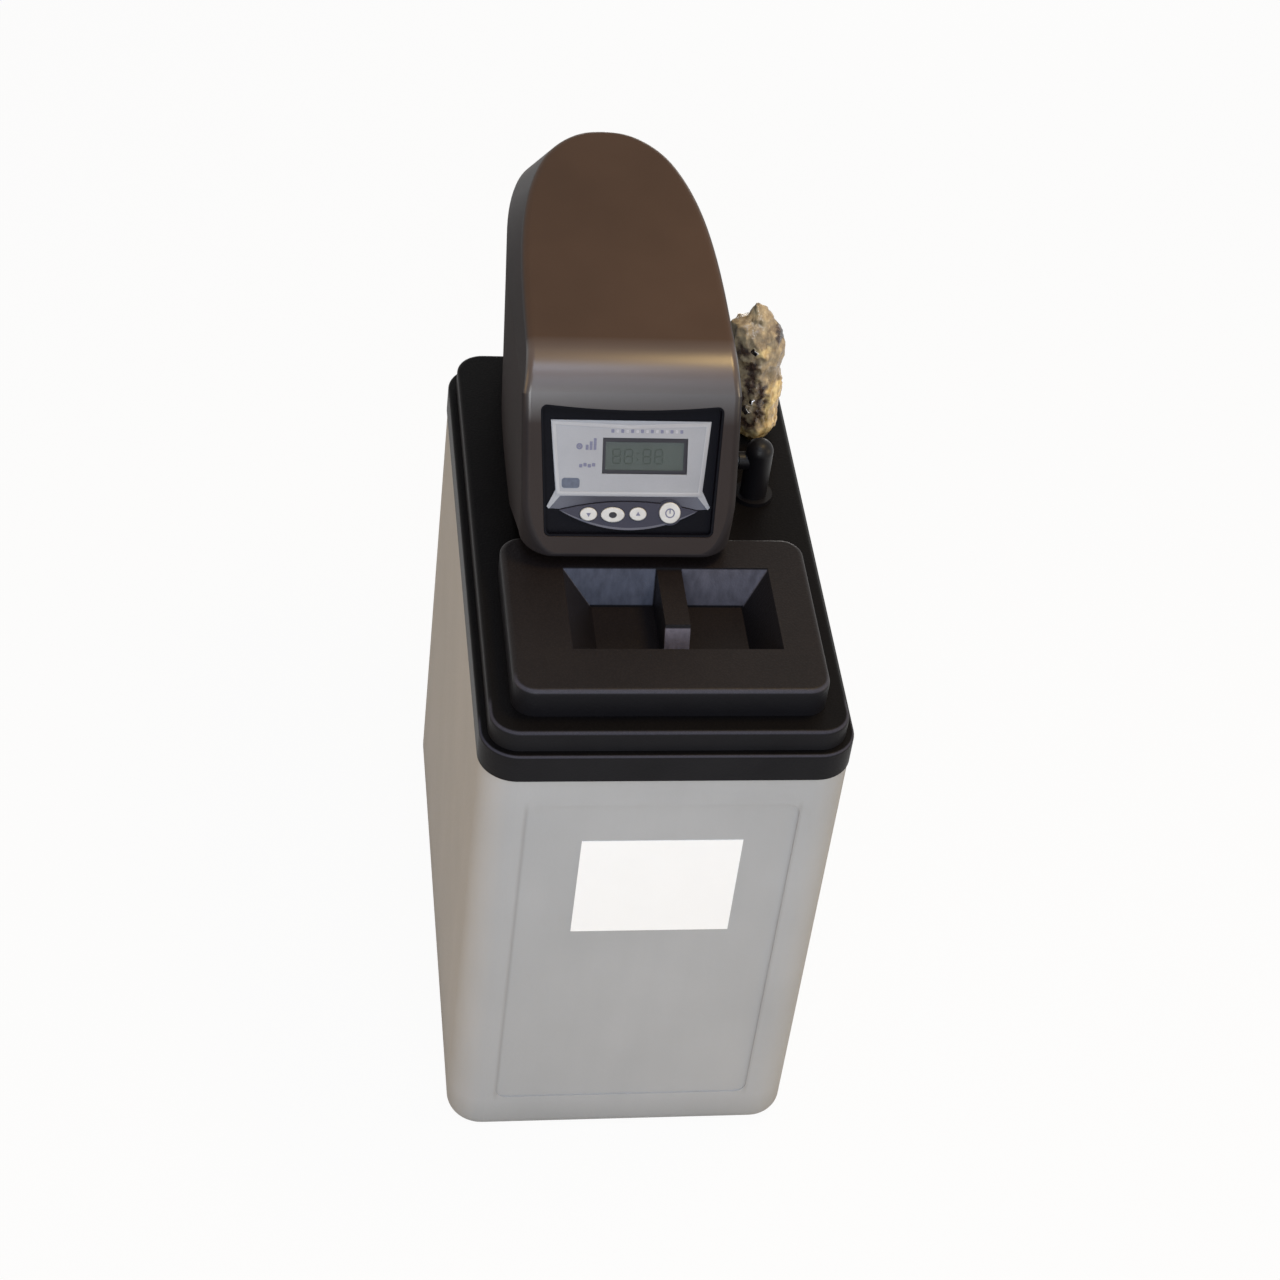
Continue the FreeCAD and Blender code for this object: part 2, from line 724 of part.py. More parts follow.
def head_profile(inset):
    """Side view of the head, drawn in by an inset, as (y, z) points."""
    lean = math.radians(face_lean)
    face_way = (math.sin(lean), math.cos(lean))
    face_in = (math.cos(lean) * inset, -math.sin(lean) * inset)
    face_point = (face_y + face_in[0], face_z + face_in[1])
    nose_z = face_z - face_below * face_way[1] + inset
    base_z = deck_z + head_base_gap - (20 if inset else 0)
    rise_length = math.hypot(1, top_rise)
    brow_y = face_y + (brow_z - face_z) * math.tan(lean)
    top_point = (brow_y + top_rise * inset / rise_length, brow_z - inset / rise_length)
    top_way = (1.0, top_rise)
    under_way = (nose_back_y - head_base_front_y, nose_z - inset - deck_z)
    shift = inset / math.hypot(*under_way)
    under_point = (head_base_front_y - under_way[1] * shift, deck_z - under_way[0] * shift)
    rear_y = head_levels[1][2] + 20
    level = (1.0, 0.0)
    upright = (0.0, 1.0)
    return [
        meet(under_point, under_way, (0, base_z), level),
        meet(under_point, under_way, (0, nose_z), level),
        meet(face_point, face_way, (0, nose_z), level),
        meet(face_point, face_way, top_point, top_way),
        meet(top_point, top_way, (rear_y, 0), upright),
        (rear_y, base_z)]


def faces_up_or_front(face):
    """True for the display face, the brow and the top, which run straight across the head."""
    u0, u1, v0, v1 = face.ParameterRange
    normal = face.normalAt((u0 + u1) / 2, (v0 + v1) / 2)
    return abs(normal.x) < 1e-4 and normal.z > 0.2


def rim_edges(solid):
    """Edges where a wall meets the display face, the brow or the top."""
    rims = []
    for edge in solid.Edges:
        sides = solid.ancestorsOfType(edge, Part.Face)
        if len(sides) == 2 and faces_up_or_front(sides[0]) != faces_up_or_front(sides[1]):
            if edge.BoundBox.YLength > 1:
                rims.append(edge)
    return rims


def nose_edge(solid):
    """The edge between the display face and the nose's underside."""
    return [e for e in solid.Edges if abs(e.BoundBox.ZMax - nose_z()) < 0.01 and e.BoundBox.ZLength < 0.01
            and e.BoundBox.YMax < face_y and e.BoundBox.XLength > 100]


def nose_z():
    """Height of the nose's flat underside."""
    return face_z - face_below * math.cos(math.radians(face_lean))


def head_solid(inset):
    """The head as a filled form, drawn in by an inset."""
    points = [V(0, y, z) for y, z in head_profile(inset)]
    side = Part.Face(Part.makePolygon(points + [points[0]]))
    side.translate(V(head_x - 130, 0, 0))
    prism = side.extrude(V(260, 0, 0))
    brow = [e for e in prism.Edges if e.BoundBox.XLength > 259 and abs(e.BoundBox.ZMin - points[3].z) < 0.01
            and abs(e.BoundBox.YMin - points[3].y) < 0.01]
    prism = prism.makeFillet(brow_r - inset, brow)
    return prism.common(head_walls(inset)).Solids[0]


def head_cover():
    """Head cover: one moulding, open below, with openings for the panel, the ports and the brine line."""
    outer = head_solid(0)
    outer = outer.makeFillet(head_edge_r, rim_edges(outer))
    outer = outer.makeFillet(nose_edge_r, nose_edge(outer))
    cover = outer.cut(head_solid(head_wall))
    cover = cover.cut(on_face(recess_prism(fit_gap, -bezel_depth - 5, 5)))
    notch = block(head_x - port_notch_half, head_x + port_notch_half, body_rear_y, port_end_y + 60,
                  deck_z - 30, port_notch_top_z)
    arch = [e for e in notch.Edges
            if e.BoundBox.YLength > 20 and abs(e.BoundBox.ZMin - port_notch_top_z) < 1e-6]
    cover = cover.cut(notch.makeFillet(port_notch_r, arch))
    line_hole = rod(brine_line_r + 1, V(head_x, well_y, brine_line_z), V(well_x, well_y, brine_line_z))
    return cover.cut(line_hole)


# Control panel

def outline_prism(edges, w0, w1):
    """A flat outline on the face, given at w = 0, as a solid between two depths."""
    solid = Part.Face(Part.Wire(edges)).extrude(V(0, 0, w1 - w0))
    solid.translate(V(0, 0, w0))
    return solid


def recess_prism(grow, w0, w1):
    """The panel recess: a trapezoid whose upper edge sags a little, grown by a gap."""
    low, high = -grow, recess_height + grow
    a, b = recess_bottom_half + grow, recess_top_half + grow
    corners = [V(-a, low, 0), V(a, low, 0), V(b, high, 0), V(-b, high, 0)]
    arch = Part.Arc(corners[2], V(0, high - recess_sag, 0), corners[3]).toShape()
    solid = outline_prism([Part.makeLine(corners[0], corners[1]), Part.makeLine(corners[1], corners[2]),
                           arch, Part.makeLine(corners[3], corners[0])], w0, w1)
    upright = [e for e in solid.Edges if abs(e.BoundBox.ZLength - (w1 - w0)) < 1e-6]
    return solid.makeFillet(recess_corner_r + grow, upright)


def button_shape(half_u, half_v, grow, w0, w1):
    """A button's oval or round body about the face's origin."""
    if abs(half_u - half_v) < 1e-6:
        solid = Part.makeCylinder(half_u + grow, w1 - w0, V(0, 0, w0))
    else:
        oval = Part.Ellipse(V(0, 0, 0), half_u + grow, half_v + grow)
        solid = outline_prism([oval.toShape()], w0, w1)
    return solid


def floor_w():
    """Depth of the recess floor's front."""
    return -bezel_depth + bezel_floor


def control_bezel():
    """Dark tray in the cover's opening, with posts for the circuit board."""
    tray = recess_prism(0, -bezel_depth, -0.5)
    tray = tray.cut(recess_prism(-bezel_wall, floor_w(), 1))
    tray = tray.cut(block(window_u[0], window_u[1], window_v[0], window_v[1], -bezel_depth - 1, 0))
    for _, u, v, _, _ in buttons:
        tray = tray.cut(Part.makeCylinder(stem_r + fit_gap, bezel_depth, V(u, v, -bezel_depth - 1)))
    for u in (-board_half_u + 5, board_half_u - 5):
        for v in (board_v[0] + 5, board_v[1] - 5):
            post = Part.makeCylinder(post_r, -bezel_depth - board_w + 0.5, V(u, v, board_w))
            tray = tray.fuse(post)
    return on_face(tray.removeSplitter())


def fascia_plate():
    """Pale fascia with two swept wings and the display's opening."""
    half = [(fascia_top_half, fascia_top_v), (fascia_bottom_half, fascia_bottom_v + 5),
            (wing_tip_u, wing_tip_v + 2), (wing_tip_u - 2, wing_tip_v),
            (fascia_bottom_half - 4, fascia_bottom_v)]
    points = [V(u, v, 0) for u, v in half] + [V(-u, v, 0) for u, v in reversed(half)]
    edges = Part.makePolygon(points + [points[0]]).Edges
    plate = outline_prism(edges, floor_w(), floor_w() + fascia_thickness)
    hole = block(window_u[0], window_u[1], window_v[0], window_v[1], floor_w() - 1, 0)
    _, u, v, radius, _ = buttons[-1]
    rim = Part.makeCylinder(radius + round_rim + fit_gap, bezel_depth, V(u, v, floor_w() - 1))
    return on_face(plate.cut(hole).cut(rim))


def display_window():
    """Clear window in the fascia's opening, over the display module."""
    low = floor_w()
    return on_face(block(window_u[0] + 0.1, window_u[1] - 0.1, window_v[0] + 0.1, window_v[1] - 0.1,
                         low, low + window_thickness))


def display_module():
    """Display glass and its frame, behind the window and in front of the board."""
    return on_face(block(window_u[0] + 0.2, window_u[1] - 0.2, window_v[0] + 0.2, window_v[1] - 0.2,
                         board_w + 0.1, floor_w() - 0.1))


def button_panel():
    """Eye-shaped panel that guides the buttons."""
    ends = (V(-smile_half, smile_end_v, 0), V(smile_half, smile_end_v, 0))
    upper = Part.Arc(ends[0], V(0, smile_top_v, 0), ends[1]).toShape()
    lower = Part.Arc(ends[1], V(0, smile_low_v, 0), ends[0]).toShape()
    plate = outline_prism([upper, lower], floor_w(), floor_w() + smile_thickness)
    _, u, v, radius, _ = buttons[-1]
    plate = plate.fuse(Part.makeCylinder(radius + round_rim, smile_thickness, V(u, v, floor_w())))
    for _, u, v, half_u, half_v in buttons:
        hole = button_shape(half_u, half_v, button_gap, floor_w() - 1, 0)
        hole.translate(V(u, v, 0))
        plate = plate.cut(hole)
    return on_face(plate.removeSplitter())


def push_button(u, v, half_u, half_v):
    """Button cap with its stem, standing proud of the panel by more than its travel."""
    low = floor_w() + button_travel + 0.1
    cap = button_shape(half_u, half_v, 0, low, floor_w() + smile_thickness + button_rise)
    top = floor_w() + smile_thickness + button_rise
    cap = cap.makeFillet(0.9, level_edges(cap, top))
    cap = cap.fuse(Part.makeCylinder(stem_r, stem_length, V(0, 0, low - stem_length)))
    cap.translate(V(u, v, 0))
    return on_face(cap.removeSplitter())


def circuit_board():
    """Board behind the panel, with one key switch under each button."""
    low = board_w - board_thickness
    board = block(-board_half_u, board_half_u, board_v[0], board_v[1], low, board_w)
    for _, u, v, _, _ in buttons:
        board = board.fuse(block(u - 3, u + 3, v - 3, v + 3, board_w - 0.5, board_w + switch_height))
    chip = block(-40, -18, 40, 62, low - 3, low + 0.5)
    plug = block(20, 44, 20, 30, low - 8, low + 0.5)
    return on_face(board.fuse(chip).fuse(plug).removeSplitter())


def board_screws():
    """Four screws that hold the board to the bezel's posts."""
    screws = []
    back = board_w - board_thickness
    for u in (-board_half_u + 5, board_half_u - 5):
        for v in (board_v[0] + 5, board_v[1] - 5):
            head = Part.makeCylinder(screw_head_r, screw_head, V(u, v, back - screw_head))
            slot = block(u - screw_head_r, u + screw_head_r, v - 0.4, v + 0.4, back - 3, back - 1)
            screws.append(on_face(head.cut(slot)))
    return Part.makeCompound(screws)


# Control valve

def port_xs():
    """The two water ports' places across the head."""
    return (head_x - port_spacing / 2, head_x + port_spacing / 2)


def plunger_ys():
    """The plungers' places along the camshaft."""
    return [first_plunger_y + plunger_pitch * k for k in range(len(cam_flats))]


def water_port(x):
    """One port with its flange and threaded end."""
    start = V(x, body_rear_y - 60, port_z)
    length = port_end_y - start.y
    flange_at = length - thread_length - port_flange
    outline = [(0, 0), (port_r, 0), (port_r, flange_at), (port_flange_r, flange_at),
               (port_flange_r, flange_at + port_flange), (thread_r, flange_at + port_flange),
               (thread_r, length), (0, length)]
    return turned_along(outline, start, V(0, 1, 0))


def valve_body():
    """Valve moulding: tank collar, column, long body and the two water ports."""
    axis = V(tank_x, tank_y, 0)
    collar = rod(collar_r, axis + V(0, 0, collar_bottom_z), axis + V(0, 0, collar_top_z))
    for k in range(12):
        angle = math.radians(30 * k)
        centre = axis + V((collar_r + 3) * math.cos(angle), (collar_r + 3) * math.sin(angle), 0)
        low, high = centre + V(0, 0, collar_bottom_z - 1), centre + V(0, 0, collar_top_z + 1)
        collar = collar.cut(rod(6.0, low, high))
    column = rod(column_r, axis + V(0, 0, collar_top_z - 1), axis + V(0, 0, body_bottom_z + 5))
    body = rounded_block(head_x - body_half_width, head_x + body_half_width, body_front_y, body_rear_y,
                         body_bottom_z, body_top_z, body_corner_r)
    valve = collar.fuse([column, body] + [water_port(x) for x in port_xs()])
    mouth_low, mouth_high = axis + V(0, 0, collar_bottom_z - 1), axis + V(0, 0, tank_neck_top_z + 3)
    valve = valve.cut(rod(tank_neck_r + fit_gap, mouth_low, mouth_high))
    valve = valve.cut(rod(riser_r + fit_gap, mouth_low, axis + V(0, 0, collar_top_z + 1)))
    for x in port_xs():
        end = V(x, port_end_y + 1, port_z)
        valve = valve.cut(rod(port_bore_r, end - V(0, port_bore_depth + 1, 0), end))
    for y in plunger_ys():
        foot = V(head_x, y, plunger_bottom_z - 1)
        valve = valve.cut(rod(plunger_r + 1, foot, V(head_x, y, body_top_z + 1)))
    return valve.removeSplitter()


def valve_top_plate():
    """Plate that closes the valve, with the plungers' guides and the camshaft's bearings."""
    low, high = body_top_z, body_top_z + plate_thickness
    plate = rounded_block(head_x - body_half_width, head_x + body_half_width, body_front_y, body_rear_y,
                          low, high, body_corner_r)
    for y in plunger_ys():
        plate = plate.fuse(rod(guide_r, V(head_x, y, high - 1), V(head_x, y, high + guide_height)))
    for y in bearing_ys():
        post = block(head_x - 9, head_x + 9, y, y + bearing_width, high - 1, cam_axis_z)
        ring = rod(9.0, V(head_x, y, cam_axis_z), V(head_x, y + bearing_width, cam_axis_z))
        plate = plate.fuse(post).fuse(ring)
    for y in plunger_ys():
        above = V(head_x, y, high + guide_height + 1)
        plate = plate.cut(rod(plunger_r + running_gap, V(head_x, y, low - 1), above))
    bore_ends = [V(head_x, y, cam_axis_z) for y in (body_front_y, body_rear_y)]
    return plate.cut(rod(cam_journal_r + running_gap, *bore_ends)).removeSplitter()


def bearing_ys():
    """Front faces of the camshaft's two bearings."""
    return (body_front_y + 6, body_rear_y - 6 - bearing_width)


def cam_disc(y, flats):
    """One cam: a disc that holds its plunger down, with flats that let it rise."""
    disc = Part.makeCylinder(cam_lobe_r, cam_width, V(0, -cam_width / 2, 0), V(0, 1, 0))
    for turn in flats:
        below = block(-cam_lobe_r, cam_lobe_r, -cam_width, cam_width, -2 * cam_lobe_r, -cam_base_r)
        below.rotate(V(0, 0, 0), V(0, 1, 0), turn)
        disc = disc.cut(below)
    disc.translate(V(head_x, y, cam_axis_z))
    return disc


def camshaft():
    """Camshaft with one cam over each plunger."""
    front = V(head_x, gear_front_y - 6, cam_axis_z)
    shaft = rod(cam_journal_r, front, V(head_x, body_rear_y - 2, cam_axis_z))
    cams = [cam_disc(y, flats) for y, flats in zip(plunger_ys(), cam_flats)]
    return shaft.fuse(cams).removeSplitter()


def plunger(y):
    """Sprung plunger, drawn pressed down by its cam; it can rise by the depth of the cam's flats."""
    top_z = cam_axis_z - cam_lobe_r - fit_gap
    stem = rod(plunger_r, V(head_x, y, plunger_bottom_z), V(head_x, y, top_z))
    cap = rod(plunger_head_r, V(head_x, y, top_z - plunger_head), V(head_x, y, top_z))
    return stem.fuse(cap).removeSplitter()


def gear(teeth, width, bore_r, phase):
    """Spur gear about the Z axis with straight-flanked teeth."""
    pitch_r = gear_module * teeth / 2
    root_r, tip_r = pitch_r - 1.2 * gear_module, pitch_r + 0.85 * gear_module
    step = 2 * math.pi / teeth
    flank = ((0.30, root_r), (0.215, pitch_r), (0.10, tip_r))
    marks = [(-share, radius) for share, radius in flank] + list(reversed(flank))
    points = []
    for tooth in range(teeth):
        for share, radius in marks:
            angle = phase + step * (tooth + share)
            points.append(V(radius * math.cos(angle), radius * math.sin(angle), 0))
    wheel = Part.Face(Part.makePolygon(points + [points[0]])).extrude(V(0, 0, width))
    return wheel.cut(Part.makeCylinder(bore_r, width + 2, V(0, 0, -1)))


def across_head(solid, x, y, z):
    """Turn a solid's Z axis to the rear and set it down at a point."""
    solid.Placement = FreeCAD.Placement(V(x, y, z), FreeCAD.Rotation(V(0, 0, 1), V(0, 1, 0)))
    return solid


def pinion_place():
    """Where the motor's shaft lies, one centre distance from the camshaft."""
    reach = gear_module * (gear_teeth + pinion_teeth) / 2 + mesh_play
    angle = math.radians(pinion_angle)
    return head_x + reach * math.cos(angle), cam_axis_z + reach * math.sin(angle)


def cam_gear():
    """Large gear on the camshaft's front end."""
    return across_head(gear(gear_teeth, gear_width, cam_journal_r, 0), head_x, gear_front_y, cam_axis_z)


def motor_pinion():
    """Pinion and shaft of the drive motor, in mesh with the cam gear."""
    x, z = pinion_place()
    local = mesh_angle()
    wheel = gear(pinion_teeth, gear_width, shaft_r - 0.5, pinion_phase(local))
    shaft = Part.makeCylinder(shaft_r, gear_width + bracket_thickness + 3, V(0, 0, -bracket_thickness - 3))
    return across_head(wheel.fuse(shaft).removeSplitter(), x, gear_front_y, z)


def mesh_angle():
    """Direction from the camshaft to the pinion, in the gear's own turned frame."""
    turn = FreeCAD.Rotation(V(0, 0, 1), V(0, 1, 0)).inverted()
    way = turn.multVec(V(math.cos(math.radians(pinion_angle)), 0, math.sin(math.radians(pinion_angle))))
    return math.atan2(way.y, way.x)


def pinion_phase(local):
    """Turn of the pinion that puts its tooth space where the gear's tooth points."""
    gear_step = 2 * math.pi / gear_teeth
    offset = (local / gear_step) - round(local / gear_step)
    pinion_step = 2 * math.pi / pinion_teeth
    return local + math.pi + (0.5 + offset) * pinion_step


def drive_motor():
    """Flat geared motor on the front of its bracket."""
    x, z = pinion_place()
    front = V(x, motor_front_y, z)
    back = V(x, gear_front_y - 2 - bracket_thickness, z)
    body = rod(motor_r, front, back)
    rims = [e for e in body.Edges
            if abs(e.BoundBox.YMin - front.y) < 1e-6 and abs(e.BoundBox.YMax - front.y) < 1e-6]
    body = body.makeFillet(1.5, rims)
    return body.cut(rod(shaft_r + 0.5, back - V(0, 4, 0), back + V(0, 1, 0)))


def motor_bracket():
    """Plate from the valve's top plate that carries the motor."""
    x, z = pinion_place()
    y1 = gear_front_y - 2
    y0 = y1 - bracket_thickness
    plate = rounded_bracket(y0, y1)
    plate = plate.cut(rod(shaft_r + 0.5, V(x, y0 - 1, z), V(x, y1 + 1, z)))
    plate = plate.cut(rod(cam_journal_r + 1, V(head_x, y0 - 1, cam_axis_z), V(head_x, y1 + 1, cam_axis_z)))
    foot = block(head_x - 24, head_x + 24, y0, body_front_y + 4, body_top_z + plate_thickness,
                 body_top_z + plate_thickness + 3)
    return plate.fuse(foot).removeSplitter()


def rounded_bracket(y0, y1):
    """The bracket's upright plate."""
    plate = block(head_x - 24, head_x + 40, y0, y1, body_top_z + plate_thickness, cam_axis_z + 12)
    upper = [e for e in plate.Edges
             if e.BoundBox.YLength > 1 and abs(e.BoundBox.ZMin - cam_axis_z - 12) < 1e-6]
    return plate.makeFillet(9.0, upper)


def injector():
    """Injector housing and its screw cap on the valve's right side."""
    start = V(head_x + body_half_width, injector_y, injector_z)
    cap = injector_length - 8
    outline = [(0, 0), (injector_r, 0), (injector_r, cap), (injector_r + 2, cap),
               (injector_r + 2, injector_length), (0, injector_length)]
    return turned_along(outline, start, V(1, 0, 0))


def drain_barb():
    """Hose barb of the drain, between the two water ports."""
    start = V(head_x, body_rear_y, port_z)
    root_r = drain_r - 1
    outline = [(drain_bore_r, 0), (drain_r + 3.5, 0), (drain_r + 3.5, drain_collar), (root_r, drain_collar)]
    for step in range(barb_count):
        at = barb_start + barb_pitch * step
        outline += [(root_r, at), (drain_r, at), (drain_r, at + barb_land), (root_r, at + barb_pitch - 1)]
    outline += [(root_r, drain_length), (drain_bore_r, drain_length)]
    return turned_along(outline, start, V(0, 1, 0))


def port_seals():
    """Flat washer on the end of each water port."""
    outline = [(port_bore_r, 0), (thread_r - fit_gap, 0), (thread_r - fit_gap, seal_thickness),
               (port_bore_r, seal_thickness)]
    return Part.makeCompound([turned_along(outline, V(x, port_end_y, port_z), V(0, 1, 0)) for x in port_xs()])


# Brine elbow, line and the bag of fittings

def elbow_stub_z():
    """Lower end of the elbow's stub, inside the well's cap."""
    return well_top_z - 6


def brine_elbow():
    """Upright elbow with a domed top, standing on the deck over the brine well."""
    axis = V(well_x, well_y, 0)
    body = rod(elbow_r, axis + V(0, 0, deck_z), axis + V(0, 0, elbow_top_z))
    body = body.makeFillet(elbow_r - 1, level_edges(body, elbow_top_z))
    body = body.fuse(rod(elbow_flange_r, axis + V(0, 0, deck_z), axis + V(0, 0, deck_z + elbow_flange)))
    body = body.fuse(rod(elbow_r - 2, axis + V(0, 0, elbow_stub_z()), axis + V(0, 0, deck_z + 1)))
    side = rod(8.0, V(well_x - elbow_r - 6, well_y, brine_line_z), V(well_x, well_y, brine_line_z))
    body = body.fuse(side)
    socket = rod(brine_line_r + 0.1, V(well_x - elbow_r - 7, well_y, brine_line_z),
                 V(well_x - elbow_r, well_y, brine_line_z))
    return body.cut(socket).removeSplitter()


def brine_line():
    """Rigid tube from the elbow to the valve."""
    start = V(head_x + body_half_width, well_y, brine_line_z)
    end = V(well_x - elbow_r, well_y, brine_line_z)
    return rod(brine_line_r, start, end).cut(rod(brine_line_bore, start, end))


def bag_section(z, half_x, half_y, share):
    """One level section of the bag, as a closed rounded outline."""
    x = bag_x + bag_lean_x * share
    y = bag_y + bag_lean_y * share
    points = []
    for k in range(12):
        angle = math.radians(30 * k)
        swell = 1 + 0.07 * math.cos(3 * angle + 5 * share)
        points.append(V(x + half_x * swell * math.cos(angle), y + half_y * swell * math.sin(angle), z))
    curve = Part.BSplineCurve()
    curve.interpolate(points, PeriodicFlag=True)
    return Part.Wire(curve.toShape())


def bag_form(inset):
    """The bag's form, drawn in by an inset: slack at the foot, gathered at the top."""
    shares = ((0.0, 0.90, 0.92), (0.18, 1.0, 1.0), (0.55, 1.0, 0.86), (0.82, 1.22, 0.62), (1.0, 0.60, 0.42))
    wires = []
    for share, wide, deep in shares:
        z = deck_z + fit_gap + inset + (bag_height - 2 * inset) * share
        wires.append(bag_section(z, bag_width / 2 * wide - inset, bag_thickness / 2 * deep - inset, share))
    return Part.makeLoft(wires, True, False)


def film_bag():
    """Clear film bag round the loose fittings, as a thin closed skin."""
    return bag_form(0).cut(bag_form(bag_film))


def hose_tail():
    """Loose brass hose tail, upright in the bag."""
    z0 = deck_z + 2 * fit_gap + bag_film
    foot = V(bag_x - 1, bag_y, z0)
    outline = [(6.0, 0), (tail_r + 2, 0), (tail_r + 2, 8), (tail_r - 2, 8)]
    for step in range(4):
        at = 12 + 8 * step
        outline += [(tail_r - 2, at), (tail_r, at + 1), (tail_r - 2, at + 7)]
    outline += [(tail_r - 2, tail_length), (6.0, tail_length)]
    return turned_along(outline, foot, V(0, 0, 1))


def loose_nut():
    """Plated nut lying on top of the hose tail in the bag."""
    foot = V(bag_x - 6, bag_y + 1, deck_z + 2 * fit_gap + bag_film + tail_length + fit_gap)
    return hex_nut(foot, V(0, 0, 1), nut_r * 0.86, nut_length, 6.0)


def main():
    """Build every piece and write it out."""
    os.makedirs("parts", exist_ok=True)
    pieces = {
        "cabinet_shell": cabinet_shell(), "cabinet_cover": cabinet_cover(), "front_label": front_label(),
        "salt_lid": salt_lid(), "lid_hinge_pins": lid_hinge_pins(),
        "resin_tank": resin_tank(), "tank_boot": tank_boot(), "riser_tube": riser_tube(),
        "bottom_strainer": bottom_strainer(), "top_strainer": top_strainer(), "resin_bed": resin_bed(),
        "neck_seal": neck_seal(),
        "brine_well": brine_well(), "brine_well_cap": brine_well_cap(), "air_check": air_check(),
        "float_rod": float_rod(), "brine_float": brine_float(), "salt_grid": salt_grid(),
        "overflow_elbow": overflow_elbow(), "overflow_nut": overflow_nut(),
        "head_cover": head_cover(), "control_bezel": control_bezel(), "fascia_plate": fascia_plate(),
        "display_window": display_window(), "display_module": display_module(),
        "button_panel": button_panel(), "circuit_board": circuit_board(), "board_screws": board_screws(),
        "valve_body": valve_body(), "valve_top_plate": valve_top_plate(), "camshaft": camshaft(),
        "cam_gear": cam_gear(), "motor_pinion": motor_pinion(), "drive_motor": drive_motor(),
        "motor_bracket": motor_bracket(), "injector": injector(), "drain_barb": drain_barb(),
        "port_seals": port_seals(),
        "brine_elbow": brine_elbow(), "brine_line": brine_line(),
        "film_bag": film_bag(), "hose_tail": hose_tail(), "loose_nut": loose_nut(),
    }
    for name, u, v, half_u, half_v in buttons:
        pieces[name] = push_button(u, v, half_u, half_v)
    for number, y in enumerate(plunger_ys(), 1):
        pieces["plunger_%d" % number] = plunger(y)
    for name, solid in pieces.items():
        save(name, solid)


main()
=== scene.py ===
"""Looks of a compact cabinet water softener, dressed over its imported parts.

Metres, with +Z up and +Y to the rear.
"""
import math

import bmesh
import bpy
from mathutils import Matrix, Vector, noise


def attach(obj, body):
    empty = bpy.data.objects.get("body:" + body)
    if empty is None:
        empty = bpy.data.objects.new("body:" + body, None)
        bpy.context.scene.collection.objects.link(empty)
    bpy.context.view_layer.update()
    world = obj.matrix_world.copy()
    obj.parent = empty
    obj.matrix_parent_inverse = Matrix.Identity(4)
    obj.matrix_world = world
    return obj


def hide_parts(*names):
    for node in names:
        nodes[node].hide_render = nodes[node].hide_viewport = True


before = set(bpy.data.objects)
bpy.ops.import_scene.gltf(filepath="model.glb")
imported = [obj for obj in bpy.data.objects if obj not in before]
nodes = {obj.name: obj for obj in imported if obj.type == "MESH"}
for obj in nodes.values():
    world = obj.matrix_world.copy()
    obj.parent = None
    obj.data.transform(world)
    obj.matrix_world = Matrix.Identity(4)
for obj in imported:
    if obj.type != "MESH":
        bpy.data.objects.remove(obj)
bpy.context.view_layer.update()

MM = 0.001

# The control face: its lower middle in metres and its turn from flat in degrees. On its own frame u runs to
# the right, v up the face and the third axis out of it.
FACE_FOOT = (-0.025, -0.072, 0.556)
FACE_TURN = 60
FACE = Matrix.Translation(FACE_FOOT) @ Matrix.Rotation(math.radians(FACE_TURN), 4, "X")


# Shader building

def new_finish(name):
    """A material with its principled shader; gives the material, its tree and the shader."""
    material = bpy.data.materials.new(name)
    material.use_nodes = True
    tree = material.node_tree
    return material, tree, tree.nodes["Principled BSDF"]


def add(tree, kind, **values):
    """A shader node of that kind, with settings by name and socket values by their label."""
    node = tree.nodes.new("ShaderNode" + kind)
    for key, value in values.items():
        if hasattr(node, key):
            setattr(node, key, value)
        else:
            node.inputs[key.replace("_", " ")].default_value = value
    return node


def place(tree, scale=(1, 1, 1), turn=(0, 0, 0), centre=(0, 0, 0)):
    """Object coordinates, moved so that centre is their origin, then turned and scaled."""
    coordinates = add(tree, "TexCoord")
    mapping = add(tree, "Mapping")
    mapping.vector_type = "TEXTURE"
    mapping.inputs["Location"].default_value = centre
    mapping.inputs["Rotation"].default_value = turn
    mapping.inputs["Scale"].default_value = [1 / s for s in scale]
    tree.links.new(coordinates.outputs["Object"], mapping.inputs["Vector"])
    return mapping.outputs["Vector"]


def cloud(tree, where, size, detail=3.0, roughness=0.5):
    """Soft noise whose blobs are about size metres across, from 0 to 1."""
    texture = add(tree, "TexNoise", Scale=1 / size, Detail=detail, Roughness=roughness)
    tree.links.new(where, texture.inputs["Vector"])
    return texture.outputs["Fac"]


def cells(tree, where, size, feature="F1"):
    """Rounded cells about size metres across, as a distance."""
    texture = add(tree, "TexVoronoi", Scale=1 / size)
    texture.feature = feature
    tree.links.new(where, texture.inputs["Vector"])
    return texture.outputs["Distance"]


def ramp(tree, factor, low, high, start=0.3, end=0.7):
    """Two colours or greys, blended over the factor from start to end."""
    node = add(tree, "ValToRGB")
    stops = node.color_ramp.elements
    stops[0].position, stops[1].position = start, end
    stops[0].color = (*low, 1) if isinstance(low, tuple) else (low, low, low, 1)
    stops[1].color = (*high, 1) if isinstance(high, tuple) else (high, high, high, 1)
    tree.links.new(factor, node.inputs["Fac"])
    return node.outputs["Color"]


